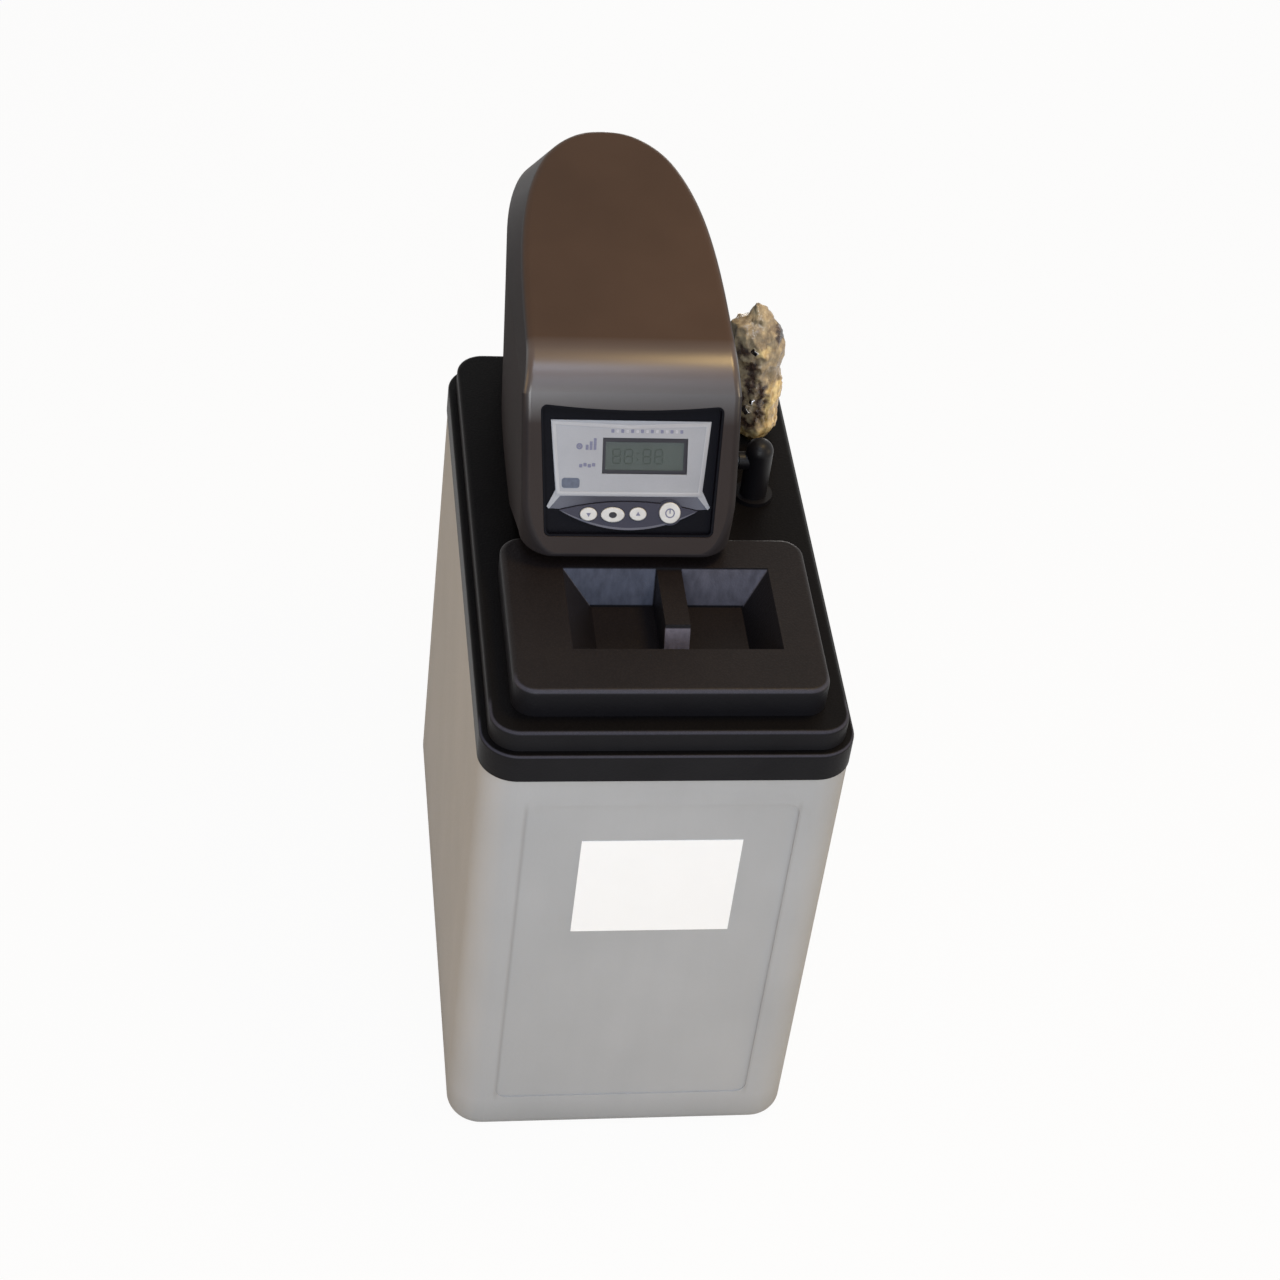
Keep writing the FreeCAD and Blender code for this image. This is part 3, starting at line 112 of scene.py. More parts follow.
def jitter(tree, where, size, reach):
    """Coordinates pushed about by up to half the reach, in blobs of that size, so that edges wander."""
    texture = add(tree, "TexNoise", Scale=1 / size, Detail=2.0)
    tree.links.new(where, texture.inputs["Vector"])
    centred = add(tree, "VectorMath", operation="SUBTRACT")
    tree.links.new(texture.outputs["Color"], centred.inputs[0])
    centred.inputs[1].default_value = (0.5, 0.5, 0.5)
    scaled = add(tree, "VectorMath", operation="SCALE")
    scaled.inputs["Scale"].default_value = reach
    tree.links.new(centred.outputs["Vector"], scaled.inputs[0])
    moved = add(tree, "VectorMath", operation="ADD")
    tree.links.new(where, moved.inputs[0])
    tree.links.new(scaled.outputs["Vector"], moved.inputs[1])
    return moved.outputs["Vector"]


def span(tree, where, axis, low, high, soft):
    """One between two heights, depths or widths in metres, falling off softly outside them."""
    split = add(tree, "SeparateXYZ")
    tree.links.new(where, split.inputs["Vector"])
    sides = []
    for edge, outer in ((low, low - soft), (high, high + soft)):
        step = add(tree, "MapRange", From_Min=outer, From_Max=edge, To_Min=0.0, To_Max=1.0)
        tree.links.new(split.outputs[axis], step.inputs["Value"])
        sides.append(step.outputs["Result"])
    return times(tree, *sides)


def inside_box(tree, where, low, high, soft):
    """One inside the box between two corners in metres, falling off softly outside it."""
    return times(tree, *[span(tree, where, axis, low[axis], high[axis], soft) for axis in range(3)])


def facing_up(tree, start, full):
    """Nought on faces whose normal rises by start, one on those where it rises by full."""
    coordinates = add(tree, "TexCoord")
    split = add(tree, "SeparateXYZ")
    tree.links.new(coordinates.outputs["Normal"], split.inputs["Vector"])
    step = add(tree, "MapRange", From_Min=start, From_Max=full, To_Min=0.0, To_Max=1.0)
    tree.links.new(split.outputs["Z"], step.inputs["Value"])
    return step.outputs["Result"]


def times(tree, *factors):
    """The product of some factor sockets."""
    result = factors[0]
    for factor in factors[1:]:
        node = add(tree, "Math", operation="MULTIPLY")
        tree.links.new(result, node.inputs[0])
        tree.links.new(factor, node.inputs[1])
        result = node.outputs[0]
    return result


def blend_by(tree, factor, first, second, mode="MIX"):
    """Two colour sockets mixed by a factor socket or number."""
    node = add(tree, "Mix")
    node.data_type = "RGBA"
    node.blend_type = mode
    if isinstance(factor, float):
        node.inputs["Factor"].default_value = factor
    else:
        tree.links.new(factor, node.inputs["Factor"])
    tree.links.new(first, node.inputs["A"])
    tree.links.new(second, node.inputs["B"])
    return node.outputs["Result"]


def emboss(tree, shader, height, depth, under=None):
    """Bump of that depth in metres from a height socket, over an earlier bump if one is given."""
    node = add(tree, "Bump", Strength=1.0, Distance=depth)
    tree.links.new(height, node.inputs["Height"])
    if under is not None:
        tree.links.new(under.outputs["Normal"], node.inputs["Normal"])
    tree.links.new(node.outputs["Normal"], shader.inputs["Normal"])
    return node


def shade(colour, by):
    """A colour made lighter or darker by a factor."""
    return tuple(min(1.0, c * by) for c in colour)


def moulded(name, colour, roughness, grain=0.0008, depth=0.00008, mottle=0.08, patch=0.06, sheen=0.5):
    """Moulded plastic: a fine spark-eroded grain, with a colour that drifts a little over the piece."""
    material, tree, shader = new_finish(name)
    where = place(tree)
    drift = cloud(tree, where, patch)
    fine = cloud(tree, where, grain, detail=2.0)
    tree.links.new(ramp(tree, drift, shade(colour, 1 - mottle), shade(colour, 1 + mottle)),
                   shader.inputs["Base Color"])
    tree.links.new(ramp(tree, fine, roughness - 0.07, roughness + 0.07), shader.inputs["Roughness"])
    shader.inputs["Specular IOR Level"].default_value = sheen
    emboss(tree, shader, fine, depth)
    return material


def metal(name, colour, roughness, stretch=(1, 1, 12)):
    """Turned or drawn metal with fine lines along one way and a little staining."""
    line_width = 0.0006
    line_depth = 0.00003
    stain = 0.12
    material, tree, shader = new_finish(name)
    lines = cloud(tree, place(tree, scale=[1 / s for s in stretch]), line_width, detail=2.0)
    drift = cloud(tree, place(tree), 0.012)
    tree.links.new(ramp(tree, drift, shade(colour, 1 - stain), colour), shader.inputs["Base Color"])
    tree.links.new(ramp(tree, lines, roughness - 0.06, roughness + 0.08), shader.inputs["Roughness"])
    shader.inputs["Metallic"].default_value = 1.0
    emboss(tree, shader, lines, line_depth)
    return material


def rubber(name, colour):
    """Moulded rubber with a dusty bloom."""
    material, tree, shader = new_finish(name)
    where = place(tree)
    bloom = cloud(tree, where, 0.008, detail=5.0)
    tree.links.new(ramp(tree, bloom, colour, shade(colour, 1.8), 0.4, 0.75), shader.inputs["Base Color"])
    tree.links.new(ramp(tree, bloom, 0.55, 0.8), shader.inputs["Roughness"])
    emboss(tree, shader, cloud(tree, where, 0.0012), 0.00005)
    return material


# Finishes of this softener

# The painted shade lines by the front panel's upright edges in metres: how far they are from the middle, half
# their width, and where they run in depth and height. Then how high the painted shade at the foot stands.
PANEL_EDGE = 0.114
LINE_HALF = 0.0006
LINE_DEPTH = (-0.26, -0.25)
LINE_HEIGHT = (0.05, 0.416)
FOOT_SHADE_HEIGHT = (-0.01, 0.004)

# The front edges of the cover and lid, with a painted highlight: where they lie in depth, in metres, and the
# highlight's tone.
EDGE_DEPTH = (-0.26, -0.215)
EDGE_HIGHLIGHT = (0.042, 0.042, 0.056)

# The head's brow, polished by hands: its depth and height in metres.
BROW_DEPTH = (-0.04, 0.016)
BROW_HEIGHT = (0.66, 0.71)

# The middle of the panel's lip, darkened as painted shade, from left to right in metres.
LIP_MIDDLE = (-0.052, 0.004)


def cabinet_plastic():
    """Blow-moulded light grey polyethylene with a faint orange peel and flow bands."""
    material, tree, shader = new_finish("cabinet blow-moulded grey")
    where = place(tree)
    drift = cloud(tree, where, 0.12, detail=2.0)
    flow = cloud(tree, place(tree, scale=(1, 1, 0.12)), 0.018, detail=2.0)
    peel = cloud(tree, where, 0.0035, detail=2.0)
    fine = cloud(tree, where, 0.0007, detail=2.0)
    body = ramp(tree, drift, (0.394, 0.400, 0.412), (0.426, 0.432, 0.445))
    streaks = blend_by(tree, 1.0, body, ramp(tree, flow, 0.98, 1.0), "MULTIPLY")
    # Darker towards the foot: painted shade where the cabinet stands on the floor.
    foot = span(tree, where, 2, *FOOT_SHADE_HEIGHT, 0.035)
    painted_shade = ramp(tree, drift, (0.31, 0.31, 0.312), (0.335, 0.335, 0.337))
    tone = blend_by(tree, foot, streaks, painted_shade)
    # Thin darker lines by the panel's upright edges: painted shade along the recess step.
    painted_tone = ramp(tree, drift, (0.345, 0.345, 0.352), (0.375, 0.375, 0.382))
    for side in (-1, 1):
        edge = PANEL_EDGE * side
        line = times(tree, span(tree, where, 0, edge - LINE_HALF, edge + LINE_HALF, 0.0022),
                     span(tree, where, 1, *LINE_DEPTH, 0.004), span(tree, where, 2, *LINE_HEIGHT, 0.012))
        tone = blend_by(tree, line, tone, painted_tone)
    tree.links.new(tone, shader.inputs["Base Color"])
    tree.links.new(ramp(tree, peel, 0.58, 0.7), shader.inputs["Roughness"])
    shader.inputs["Specular IOR Level"].default_value = 0.15
    first = emboss(tree, shader, peel, 0.00012)
    emboss(tree, shader, fine, 0.00004, under=first)
    return material


def cover_plastic(name, colour, warm, sheen, walls, lit_places=()):
    """Black structural foam with a leather-like grain, walls in a tone of their own as painted light, and a
    painted highlight along the front edges; the last argument lists places painted paler as painted light.
    """
    material, tree, shader = new_finish(name)
    where = place(tree)
    leather = cells(tree, where, 0.0016, "SMOOTH_F1")
    drift = cloud(tree, where, 0.05)
    fine = cloud(tree, where, 0.0006, detail=2.0)
    body = ramp(tree, drift, colour, warm)
    rubbed = ramp(tree, leather, shade(warm, 1.5), shade(colour, 0.9), 0.1, 0.55)
    # The walls' tone, set apart from the tops, is painted light.
    dusty = ramp(tree, drift, shade(walls, 0.9), shade(walls, 1.1))
    tone = blend_by(tree, facing_up(tree, 0.35, 0.8), dusty, blend_by(tree, 0.35, body, rubbed))
    # A painted highlight along the rounded front edges.
    rounding = times(tree, facing_up(tree, 0.35, 0.6), facing_up(tree, 0.98, 0.85))
    edge_highlight_band = times(tree, rounding, span(tree, where, 1, *EDGE_DEPTH, 0.01))
    edge_highlight = ramp(tree, fine, shade(EDGE_HIGHLIGHT, 0.7), shade(EDGE_HIGHLIGHT, 1.2))
    tone = blend_by(tree, edge_highlight_band, tone, edge_highlight)
    # Places painted paler, with streaks, as painted reflection of the front light.
    for corner, lean, low, high, painted_tone in lit_places:
        there = place(tree, turn=(lean, 0, 0), centre=corner)
        lit_place = inside_box(tree, there, low, high, 0.0012)
        streaks = cloud(tree, place(tree, scale=(1, 1, 0.4)), 0.006, detail=5.0)
        tone = blend_by(tree, lit_place, tone, ramp(tree, streaks, shade(painted_tone, 0.75), shade(painted_tone, 1.15)))
    tree.links.new(tone, shader.inputs["Base Color"])
    tree.links.new(ramp(tree, fine, 0.36, 0.5), shader.inputs["Roughness"])
    shader.inputs["Specular IOR Level"].default_value = sheen
    first = emboss(tree, shader, leather, 0.00016)
    emboss(tree, shader, fine, 0.00004, under=first)
    return material


def head_plastic():
    """Charcoal of the control head: matt walls, a satin top tinted brown as painted reflection of a warm
    room, and a brow polished by hands.
    """
    material, tree, shader = new_finish("head satin charcoal")
    where = place(tree)
    drift = cloud(tree, where, 0.09, detail=2.0)
    fine = cloud(tree, where, 0.0007, detail=3.0)
    dark = ramp(tree, drift, (0.0125, 0.0112, 0.0135), (0.0165, 0.0148, 0.0172))
    # The top's brown, lighter than the walls, is painted reflection.
    top_reflection = ramp(tree, drift, (0.044, 0.0265, 0.0185), (0.054, 0.033, 0.0235))
    tree.links.new(blend_by(tree, facing_up(tree, 0.45, 0.8), dark, top_reflection), shader.inputs["Base Color"])
    matt = ramp(tree, fine, 0.86, 0.96)
    satin = ramp(tree, fine, 0.45, 0.58)
    tree.links.new(blend_by(tree, facing_up(tree, 0.05, 0.4), matt, satin), shader.inputs["Roughness"])
    shader.inputs["Specular IOR Level"].default_value = 0.13
    shader.inputs["Specular Tint"].default_value = (1.0, 0.88, 0.78, 1)
    brow = times(tree, span(tree, where, 1, *BROW_DEPTH, 0.016), span(tree, where, 2, *BROW_HEIGHT, 0.022))
    polished = times(tree, brow, facing_up(tree, 0.3, 0.48))
    tree.links.new(polished, shader.inputs["Coat Weight"])
    shader.inputs["Coat Roughness"].default_value = 0.3
    emboss(tree, shader, fine, 0.00005)
    return material


def fascia_paint():
    """Pale grey-lilac painted fascia with a fine pearl fleck."""
    material, tree, shader = new_finish("fascia painted silver-grey")
    where = place(tree)
    fleck = cloud(tree, where, 0.0005, detail=2.0)
    drift = cloud(tree, where, 0.03)
    paint = ramp(tree, drift, (0.228, 0.233, 0.256), (0.252, 0.258, 0.283))
    pearl = ramp(tree, fleck, 0.9, 1.0)
    tree.links.new(blend_by(tree, 1.0, paint, pearl, "MULTIPLY"), shader.inputs["Base Color"])
    tree.links.new(ramp(tree, fleck, 0.3, 0.42), shader.inputs["Roughness"])
    shader.inputs["Metallic"].default_value = 0.15
    shader.inputs["Specular IOR Level"].default_value = 0.3
    emboss(tree, shader, fleck, 0.00002)
    return material


def key_plastic():
    """White button plastic, a little greyer in some patches."""
    material, tree, shader = new_finish("key white")
    where = place(tree)
    tree.links.new(ramp(tree, cloud(tree, where, 0.006), (0.42, 0.42, 0.42), (0.48, 0.485, 0.49)),
                   shader.inputs["Base Color"])
    tree.links.new(ramp(tree, cloud(tree, where, 0.0006), 0.3, 0.42), shader.inputs["Roughness"])
    emboss(tree, shader, cloud(tree, where, 0.0008), 0.00002)
    return material


def display_glass(name, colour, roughness):
    """Liquid-crystal cell: a green-grey polariser with a very fine cell pattern."""
    material, tree, shader = new_finish(name)
    where = place(tree)
    drift = cloud(tree, where, 0.02)
    pattern = cells(tree, where, 0.0006)
    tree.links.new(ramp(tree, drift, shade(colour, 0.9), shade(colour, 1.08)), shader.inputs["Base Color"])
    tree.links.new(ramp(tree, pattern, roughness, roughness + 0.1), shader.inputs["Roughness"])
    shader.inputs["Specular IOR Level"].default_value = 0.2
    emboss(tree, shader, pattern, 0.00001)
    return material


def lip_finish():
    """The lip's grey, darkened towards its middle as painted shade."""
    material, tree, shader = new_finish("lip grey shaded")
    where = place(tree)
    # Darker middle: painted shade.
    middle = span(tree, where, 0, *LIP_MIDDLE, 0.03)
    grain = cloud(tree, where, 0.0006, detail=2.0)
    ends = ramp(tree, grain, (0.085, 0.09, 0.118), (0.105, 0.11, 0.142))
    painted_shade = ramp(tree, grain, (0.028, 0.028, 0.042), (0.04, 0.04, 0.055))
    tree.links.new(blend_by(tree, middle, ends, painted_shade), shader.inputs["Base Color"])
    tree.links.new(ramp(tree, grain, 0.36, 0.5), shader.inputs["Roughness"])
    shader.inputs["Specular IOR Level"].default_value = 0.25
    emboss(tree, shader, grain, 0.00002)
    return material


def window_plastic():
    """Clear window with light handling marks; mostly see-through."""
    material, tree, shader = new_finish("window clear")
    scuffs = cloud(tree, place(tree, scale=(3, 1, 1)), 0.004, detail=6.0)
    tree.links.new(ramp(tree, scuffs, (0.07, 0.085, 0.08), (0.09, 0.1, 0.095)), shader.inputs["Base Color"])
    tree.links.new(ramp(tree, scuffs, 0.12, 0.25), shader.inputs["Roughness"])
    shader.inputs["Alpha"].default_value = 0.16
    return material


def film_plastic():
    """Clear film over loose fittings: tan as painted reflection, lighter and darker with its creases as
    painted shade, with brass, painted highlights and painted shade behind it.
    """
    material, tree, shader = new_finish("bag film pleated")
    where = place(tree)
    bent = jitter(tree, where, 0.007, 0.016)
    crease = cloud(tree, place(tree, scale=(1, 1, 0.45)), 0.005, detail=4.0, roughness=0.6)
    # The film's tan, lighter and darker with the creases, is painted reflection of a warm room with painted
    # shade in the folds.
    tone = ramp(tree, crease, (0.21, 0.155, 0.09), (0.41, 0.33, 0.21), 0.33, 0.68)
    # Brass of the fittings with painted highlights, and painted shade in the gaps between them.
    brass = ramp(tree, crease, (0.42, 0.27, 0.09), (0.78, 0.62, 0.32), 0.35, 0.65)
    gap_shade = ramp(tree, crease, (0.010, 0.006, 0.008), (0.09, 0.055, 0.04), 0.32, 0.66)
    for seen, places in ((brass, BAG_BRASS_AND_HIGHLIGHTS), (gap_shade, BAG_GAP_SHADE)):
        for low, high in places:
            tone = blend_by(tree, inside_box(tree, bent, low, high, 0.005), tone, seen)
    tree.links.new(tone, shader.inputs["Base Color"])
    tree.links.new(ramp(tree, crease, 0.1, 0.26), shader.inputs["Roughness"])
    tree.links.new(ramp(tree, crease, 0.82, 1.0, 0.3, 0.7), shader.inputs["Alpha"])
    emboss(tree, shader, crease, 0.001)
    return material


def label_paper():
    """White coated sticker paper with a soft fibre."""
    material, tree, shader = new_finish("label coated white")
    where = place(tree)
    fibre = cloud(tree, place(tree, scale=(1, 1, 0.3)), 0.0012, detail=4.0)
    tree.links.new(ramp(tree, cloud(tree, where, 0.03), (0.955, 0.96, 0.97), (0.97, 0.975, 0.985)),
                   shader.inputs["Base Color"])
    tree.links.new(ramp(tree, fibre, 0.32, 0.45), shader.inputs["Roughness"])
    emboss(tree, shader, fibre, 0.00002)
    return material


def print_ink(name, colour):
    """Screen-printed ink with slightly uneven cover."""
    material, tree, shader = new_finish(name)
    cover = cloud(tree, place(tree), 0.0008, detail=4.0)
    tree.links.new(ramp(tree, cover, colour, shade(colour, 1.35)), shader.inputs["Base Color"])
    tree.links.new(ramp(tree, cover, 0.4, 0.6), shader.inputs["Roughness"])
    shader.inputs["Specular IOR Level"].default_value = 0.15
    emboss(tree, shader, cover, 0.00001)
    return material


def wound_tank():
    """Blue glass-fibre tank: wound strands crossing at an angle under paint."""
    material, tree, shader = new_finish("tank wound blue")
    up = cloud(tree, place(tree, scale=(1, 1, 0.15), turn=(0.5, 0, 0)), 0.003)
    down = cloud(tree, place(tree, scale=(1, 1, 0.15), turn=(-0.5, 0, 0)), 0.003)
    strands = blend_by(tree, 0.5, up, down)
    tree.links.new(ramp(tree, strands, (0.03, 0.07, 0.17), (0.06, 0.13, 0.28)), shader.inputs["Base Color"])
    tree.links.new(ramp(tree, strands, 0.25, 0.4), shader.inputs["Roughness"])
    emboss(tree, shader, strands, 0.0004)
    return material


def resin_beads():
    """Amber exchange resin in beads of about a millimetre, with painted shade between the beads."""
    material, tree, shader = new_finish("resin amber beads")
    where = place(tree)
    beads = cells(tree, where, 0.0012)
    # Darker towards each bead's edge: painted shade between the beads.
    amber = ramp(tree, beads, (0.62, 0.3, 0.06), (0.2, 0.08, 0.02), 0.0, 0.7)
    tree.links.new(amber, shader.inputs["Base Color"])
    tree.links.new(ramp(tree, beads, 0.2, 0.6), shader.inputs["Roughness"])
    emboss(tree, shader, beads, -0.0005)
    return material


def circuit_green():
    """Green solder resist with copper tracks showing through."""
    material, tree, shader = new_finish("board solder resist")
    where = place(tree, turn=(math.radians(FACE_TURN), 0, 0))
    tracks = add(tree, "TexBrick", Scale=90.0)
    tracks.inputs["Color1"].default_value = (0.01, 0.09, 0.03, 1)
    tracks.inputs["Color2"].default_value = (0.02, 0.13, 0.04, 1)
    tracks.inputs["Mortar"].default_value = (0.05, 0.24, 0.08, 1)
    tree.links.new(where, tracks.inputs["Vector"])
    tree.links.new(tracks.outputs["Color"], shader.inputs["Base Color"])
    tree.links.new(ramp(tree, cloud(tree, where, 0.001), 0.25, 0.4), shader.inputs["Roughness"])
    emboss(tree, shader, tracks.outputs["Fac"], 0.00003)
    return material


# Places of the lid painted paler as painted reflection of the front light: the pockets' far walls, and the
# foot of the bar between them. Each has the corner of its wall, the wall's lean, a box from there along the
# wall, in metres, and a tone.
FAR_WALL = math.atan2(8, 38)
BAR_FOOT = math.atan2(16, 36)
POCKET_PAINTED_LIGHT = (
    ((-0.079, -0.079, 0.528), -FAR_WALL,
     (0.0, -0.0015, -0.036), (0.0785, 0.0015, -0.002), (0.076, 0.083, 0.114)),
    ((0.096, -0.079, 0.528), -FAR_WALL,
     (-0.073, -0.0015, -0.036), (0.0, 0.0015, -0.002), (0.085, 0.085, 0.11)),
    ((0.0115, -0.1475, 0.526), -BAR_FOOT,
     (-0.011, -0.0018, -0.038), (0.011, 0.0018, -0.004), (0.118, 0.108, 0.135)),
)

# Places painted on the bag's film, as boxes in metres: brass with painted highlights at its right edge, foot
# and neck, and painted shade in the gaps between the fittings.
BAG_BRASS_AND_HIGHLIGHTS = (
    ((0.121, 0.10, 0.512), (0.14, 0.18, 0.568)),
    ((0.097, 0.10, 0.500), (0.123, 0.15, 0.515)),
    ((0.107, 0.10, 0.603), (0.113, 0.15, 0.608)),
)
BAG_GAP_SHADE = (
    ((0.090, 0.10, 0.600), (0.095, 0.15, 0.609)),
    ((0.101, 0.10, 0.560), (0.105, 0.15, 0.592)),
    ((0.112, 0.10, 0.530), (0.115, 0.15, 0.568)),
    ((0.096, 0.10, 0.523), (0.110, 0.15, 0.527)),
    ((0.094, 0.10, 0.546), (0.099, 0.15, 0.554)),
    ((0.123, 0.10, 0.614), (0.132, 0.17, 0.626)),
)

FINISHES = {
    "cabinet_shell": cabinet_plastic(),
    "front_label": label_paper(),
    "cabinet_cover": cover_plastic("cover grained black", (0.003, 0.0027, 0.003), (0.0045, 0.004, 0.0042),
                                   0.04, (0.0135, 0.0132, 0.0148)),
    "salt_lid": cover_plastic("lid grained black", (0.0068, 0.0052, 0.0056), (0.0102, 0.0078, 0.0078),
                              0.10, (0.0068, 0.0066, 0.0082), POCKET_PAINTED_LIGHT),
    "head_cover": head_plastic(),
    # Black bezel plastic, darkened further and tinted blue as painted shade in the recess round the fascia.
    "control_bezel": moulded("bezel black with painted shade", (0.0022, 0.0022, 0.0042), 0.5, sheen=0.05),
    "fascia_plate": fascia_paint(),
    "display_window": window_plastic(),
    "display_module": display_glass("display polariser", (0.043, 0.061, 0.056), 0.3),
    "button_panel": moulded("key panel grey", (0.026, 0.026, 0.043), 0.38, grain=0.0006, sheen=0.15),
    "brine_elbow": moulded("elbow black", (0.004, 0.0036, 0.0045), 0.42, grain=0.001, depth=0.00005,
                           sheen=0.16),
    "film_bag": film_plastic(),
    "hose_tail": metal("brass turned", (0.72, 0.5, 0.2), 0.22),
    "loose_nut": metal("nut plated", (0.78, 0.78, 0.8), 0.16),
    "circuit_board": circuit_green(),
    "resin_tank": wound_tank(),
    "resin_bed": resin_beads(),
    "cam_gear": moulded("cam cream", (0.66, 0.6, 0.45), 0.4),
    "drive_motor": metal("motor zinc-plated", (0.62, 0.62, 0.6), 0.35),
    "motor_bracket": metal("bracket pressed steel", (0.55, 0.55, 0.56), 0.4, stretch=(12, 1, 1)),
    "board_screws": metal("screw zinc", (0.6, 0.6, 0.62), 0.3),
    "lid_hinge_pins": metal("hinge pin steel", (0.6, 0.6, 0.62), 0.25, stretch=(12, 1, 1)),
    "brine_float": moulded("float red", (0.42, 0.05, 0.03), 0.3, grain=0.002),
    "tank_boot": moulded("boot black", (0.02, 0.02, 0.02), 0.5),
    "port_seals": rubber("seal rubber", (0.012, 0.012, 0.012)),
    "neck_seal": rubber("neck seal rubber", (0.015, 0.015, 0.015)),
}
SHARED = (
    (moulded("pvc white", (0.72, 0.72, 0.69), 0.4),
     ("riser_tube", "brine_well", "brine_well_cap", "float_rod", "salt_grid", "overflow_nut")),
    (moulded("strainer grey", (0.2, 0.2, 0.22), 0.5), ("bottom_strainer", "top_strainer", "air_check")),
    (moulded("valve glass-filled black", (0.022, 0.022, 0.024), 0.45, grain=0.0012, depth=0.0001),
     ("valve_body", "injector", "drain_barb", "brine_line", "overflow_elbow")),
    (moulded("valve plate grey", (0.16, 0.16, 0.17), 0.45), ("valve_top_plate", "motor_pinion")),
    (moulded("plunger white", (0.7, 0.7, 0.68), 0.35), tuple(f"plunger_{k}" for k in range(1, 7))),
    (FINISHES["cam_gear"], ("camshaft",)),
    (key_plastic(), ("button_left", "button_select", "button_right", "button_round")),
)
for finish, names in SHARED:
    for name in names:
        FINISHES[name] = finish


def dress_nodes():
    """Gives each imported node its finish."""
    for name, node in nodes.items():
        if not node.material_slots:
            node.data.materials.append(None)
        for slot in node.material_slots:
            slot.link = "OBJECT"
            slot.material = FINISHES[name]


# Finishes of the trim

INK_SLATE = print_ink("ink slate", (0.12, 0.125, 0.19))
INK_DARK = print_ink("ink charcoal", (0.02, 0.02, 0.026))
INK_PALE = print_ink("ink pale", (0.27, 0.275, 0.31))
SEGMENT_GREY = print_ink("segment grey", (0.036, 0.046, 0.042))
LIP_GREY = moulded("lip grey", (0.09, 0.093, 0.122), 0.45, grain=0.0006, sheen=0.2)
LIP_SHADED = lip_finish()
RIM_PALE = moulded("rim pale", (0.31, 0.315, 0.345), 0.32, grain=0.0005, sheen=0.35)
BADGE_SLATE = moulded("badge slate", (0.08, 0.095, 0.14), 0.4, grain=0.0006, mottle=0.15, patch=0.004,
                      sheen=0.2)


# Modelling

def deselect():
    """Leaves edit mode and lets go of every object."""
    if bpy.context.object and bpy.context.object.mode != "OBJECT":
        bpy.ops.object.mode_set(mode="OBJECT")
    bpy.ops.object.select_all(action="DESELECT")


def started(name):
    """Names the primitive just added and gives it back."""
    piece = bpy.context.object
    piece.name = name
    piece.data.name = name
    return piece


def settle(piece, finish, body, where=None, smooth=None):
    """Puts a finished piece's place into its mesh and hangs it on its body."""
    deselect()
    piece.select_set(True)
    bpy.context.view_layer.objects.active = piece
    for modifier in list(piece.modifiers):
        bpy.ops.object.modifier_apply(modifier=modifier.name)
    bpy.ops.object.transform_apply(location=True, rotation=True, scale=True)
    if where is not None:
        piece.data.transform(where)
    if smooth is not None:
        bpy.ops.object.shade_smooth_by_angle(angle=math.radians(smooth))
    piece.data.materials.clear()
    piece.data.materials.append(finish)
    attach(piece, body)
    return piece


def join(name, pieces):
    """Several meshes as one piece."""
    deselect()
    for piece in pieces:
        piece.select_set(True)
    bpy.context.view_layer.objects.active = pieces[0]
    bpy.ops.object.join()
    return started(name)


def disc(u, v, radius, height, sides=32):
    """A short post standing on the face plane, in millimetres."""
    deselect()
    bpy.ops.mesh.primitive_cylinder_add(vertices=sides, radius=radius * MM, depth=height * MM,
                                        location=(u * MM, v * MM, height * MM / 2))
    return bpy.context.object


def slab(u, v, width, height, depth, corner=0.0):
    """A thin bar lying on the face plane, in millimetres, with its corners rounded if a radius is given."""
    deselect()
    bpy.ops.mesh.primitive_cube_add(size=1, location=(u * MM, v * MM, depth * MM / 2))
    piece = bpy.context.object
    piece.scale = (width * MM, height * MM, depth * MM)
    bpy.ops.object.transform_apply(location=False, rotation=False, scale=True)
    if corner:
        round_corners(piece, corner * MM)
    return piece


def round_corners(piece, radius):
    """Bevels a bar's upright edges."""
    bpy.ops.object.mode_set(mode="EDIT")
    bpy.ops.mesh.select_all(action="DESELECT")
    bpy.ops.mesh.select_mode(type="EDGE")
    mesh = bmesh.from_edit_mesh(piece.data)
    for edge in mesh.edges:
        run = edge.verts[0].co - edge.verts[1].co
        edge.select = abs(run.z) > 0.5 * run.length
    bmesh.update_edit_mesh(piece.data)
    bpy.ops.mesh.bevel(offset=radius, segments=3, affect="EDGES")
    bpy.ops.mesh.select_mode(type="FACE")
    bpy.ops.object.mode_set(mode="OBJECT")


def ring(u, v, radius, wire):
    """A flattened ring on the face plane, in millimetres."""
    deselect()
    bpy.ops.mesh.primitive_torus_add(major_radius=radius * MM, minor_radius=wire * MM, major_segments=40,
                                     minor_segments=6, location=(u * MM, v * MM, 0))
    piece = bpy.context.object
    piece.scale.z = 0.25
    return piece


def start_outline(name):
    """An empty piece in edit mode, ready for corners and faces on the face plane."""
    deselect()
    bpy.ops.mesh.primitive_plane_add(size=1)
    piece = started(name)
    bpy.ops.object.mode_set(mode="EDIT")
    mesh = bmesh.from_edit_mesh(piece.data)
    bmesh.ops.delete(mesh, geom=list(mesh.verts), context="VERTS")
    return piece, mesh


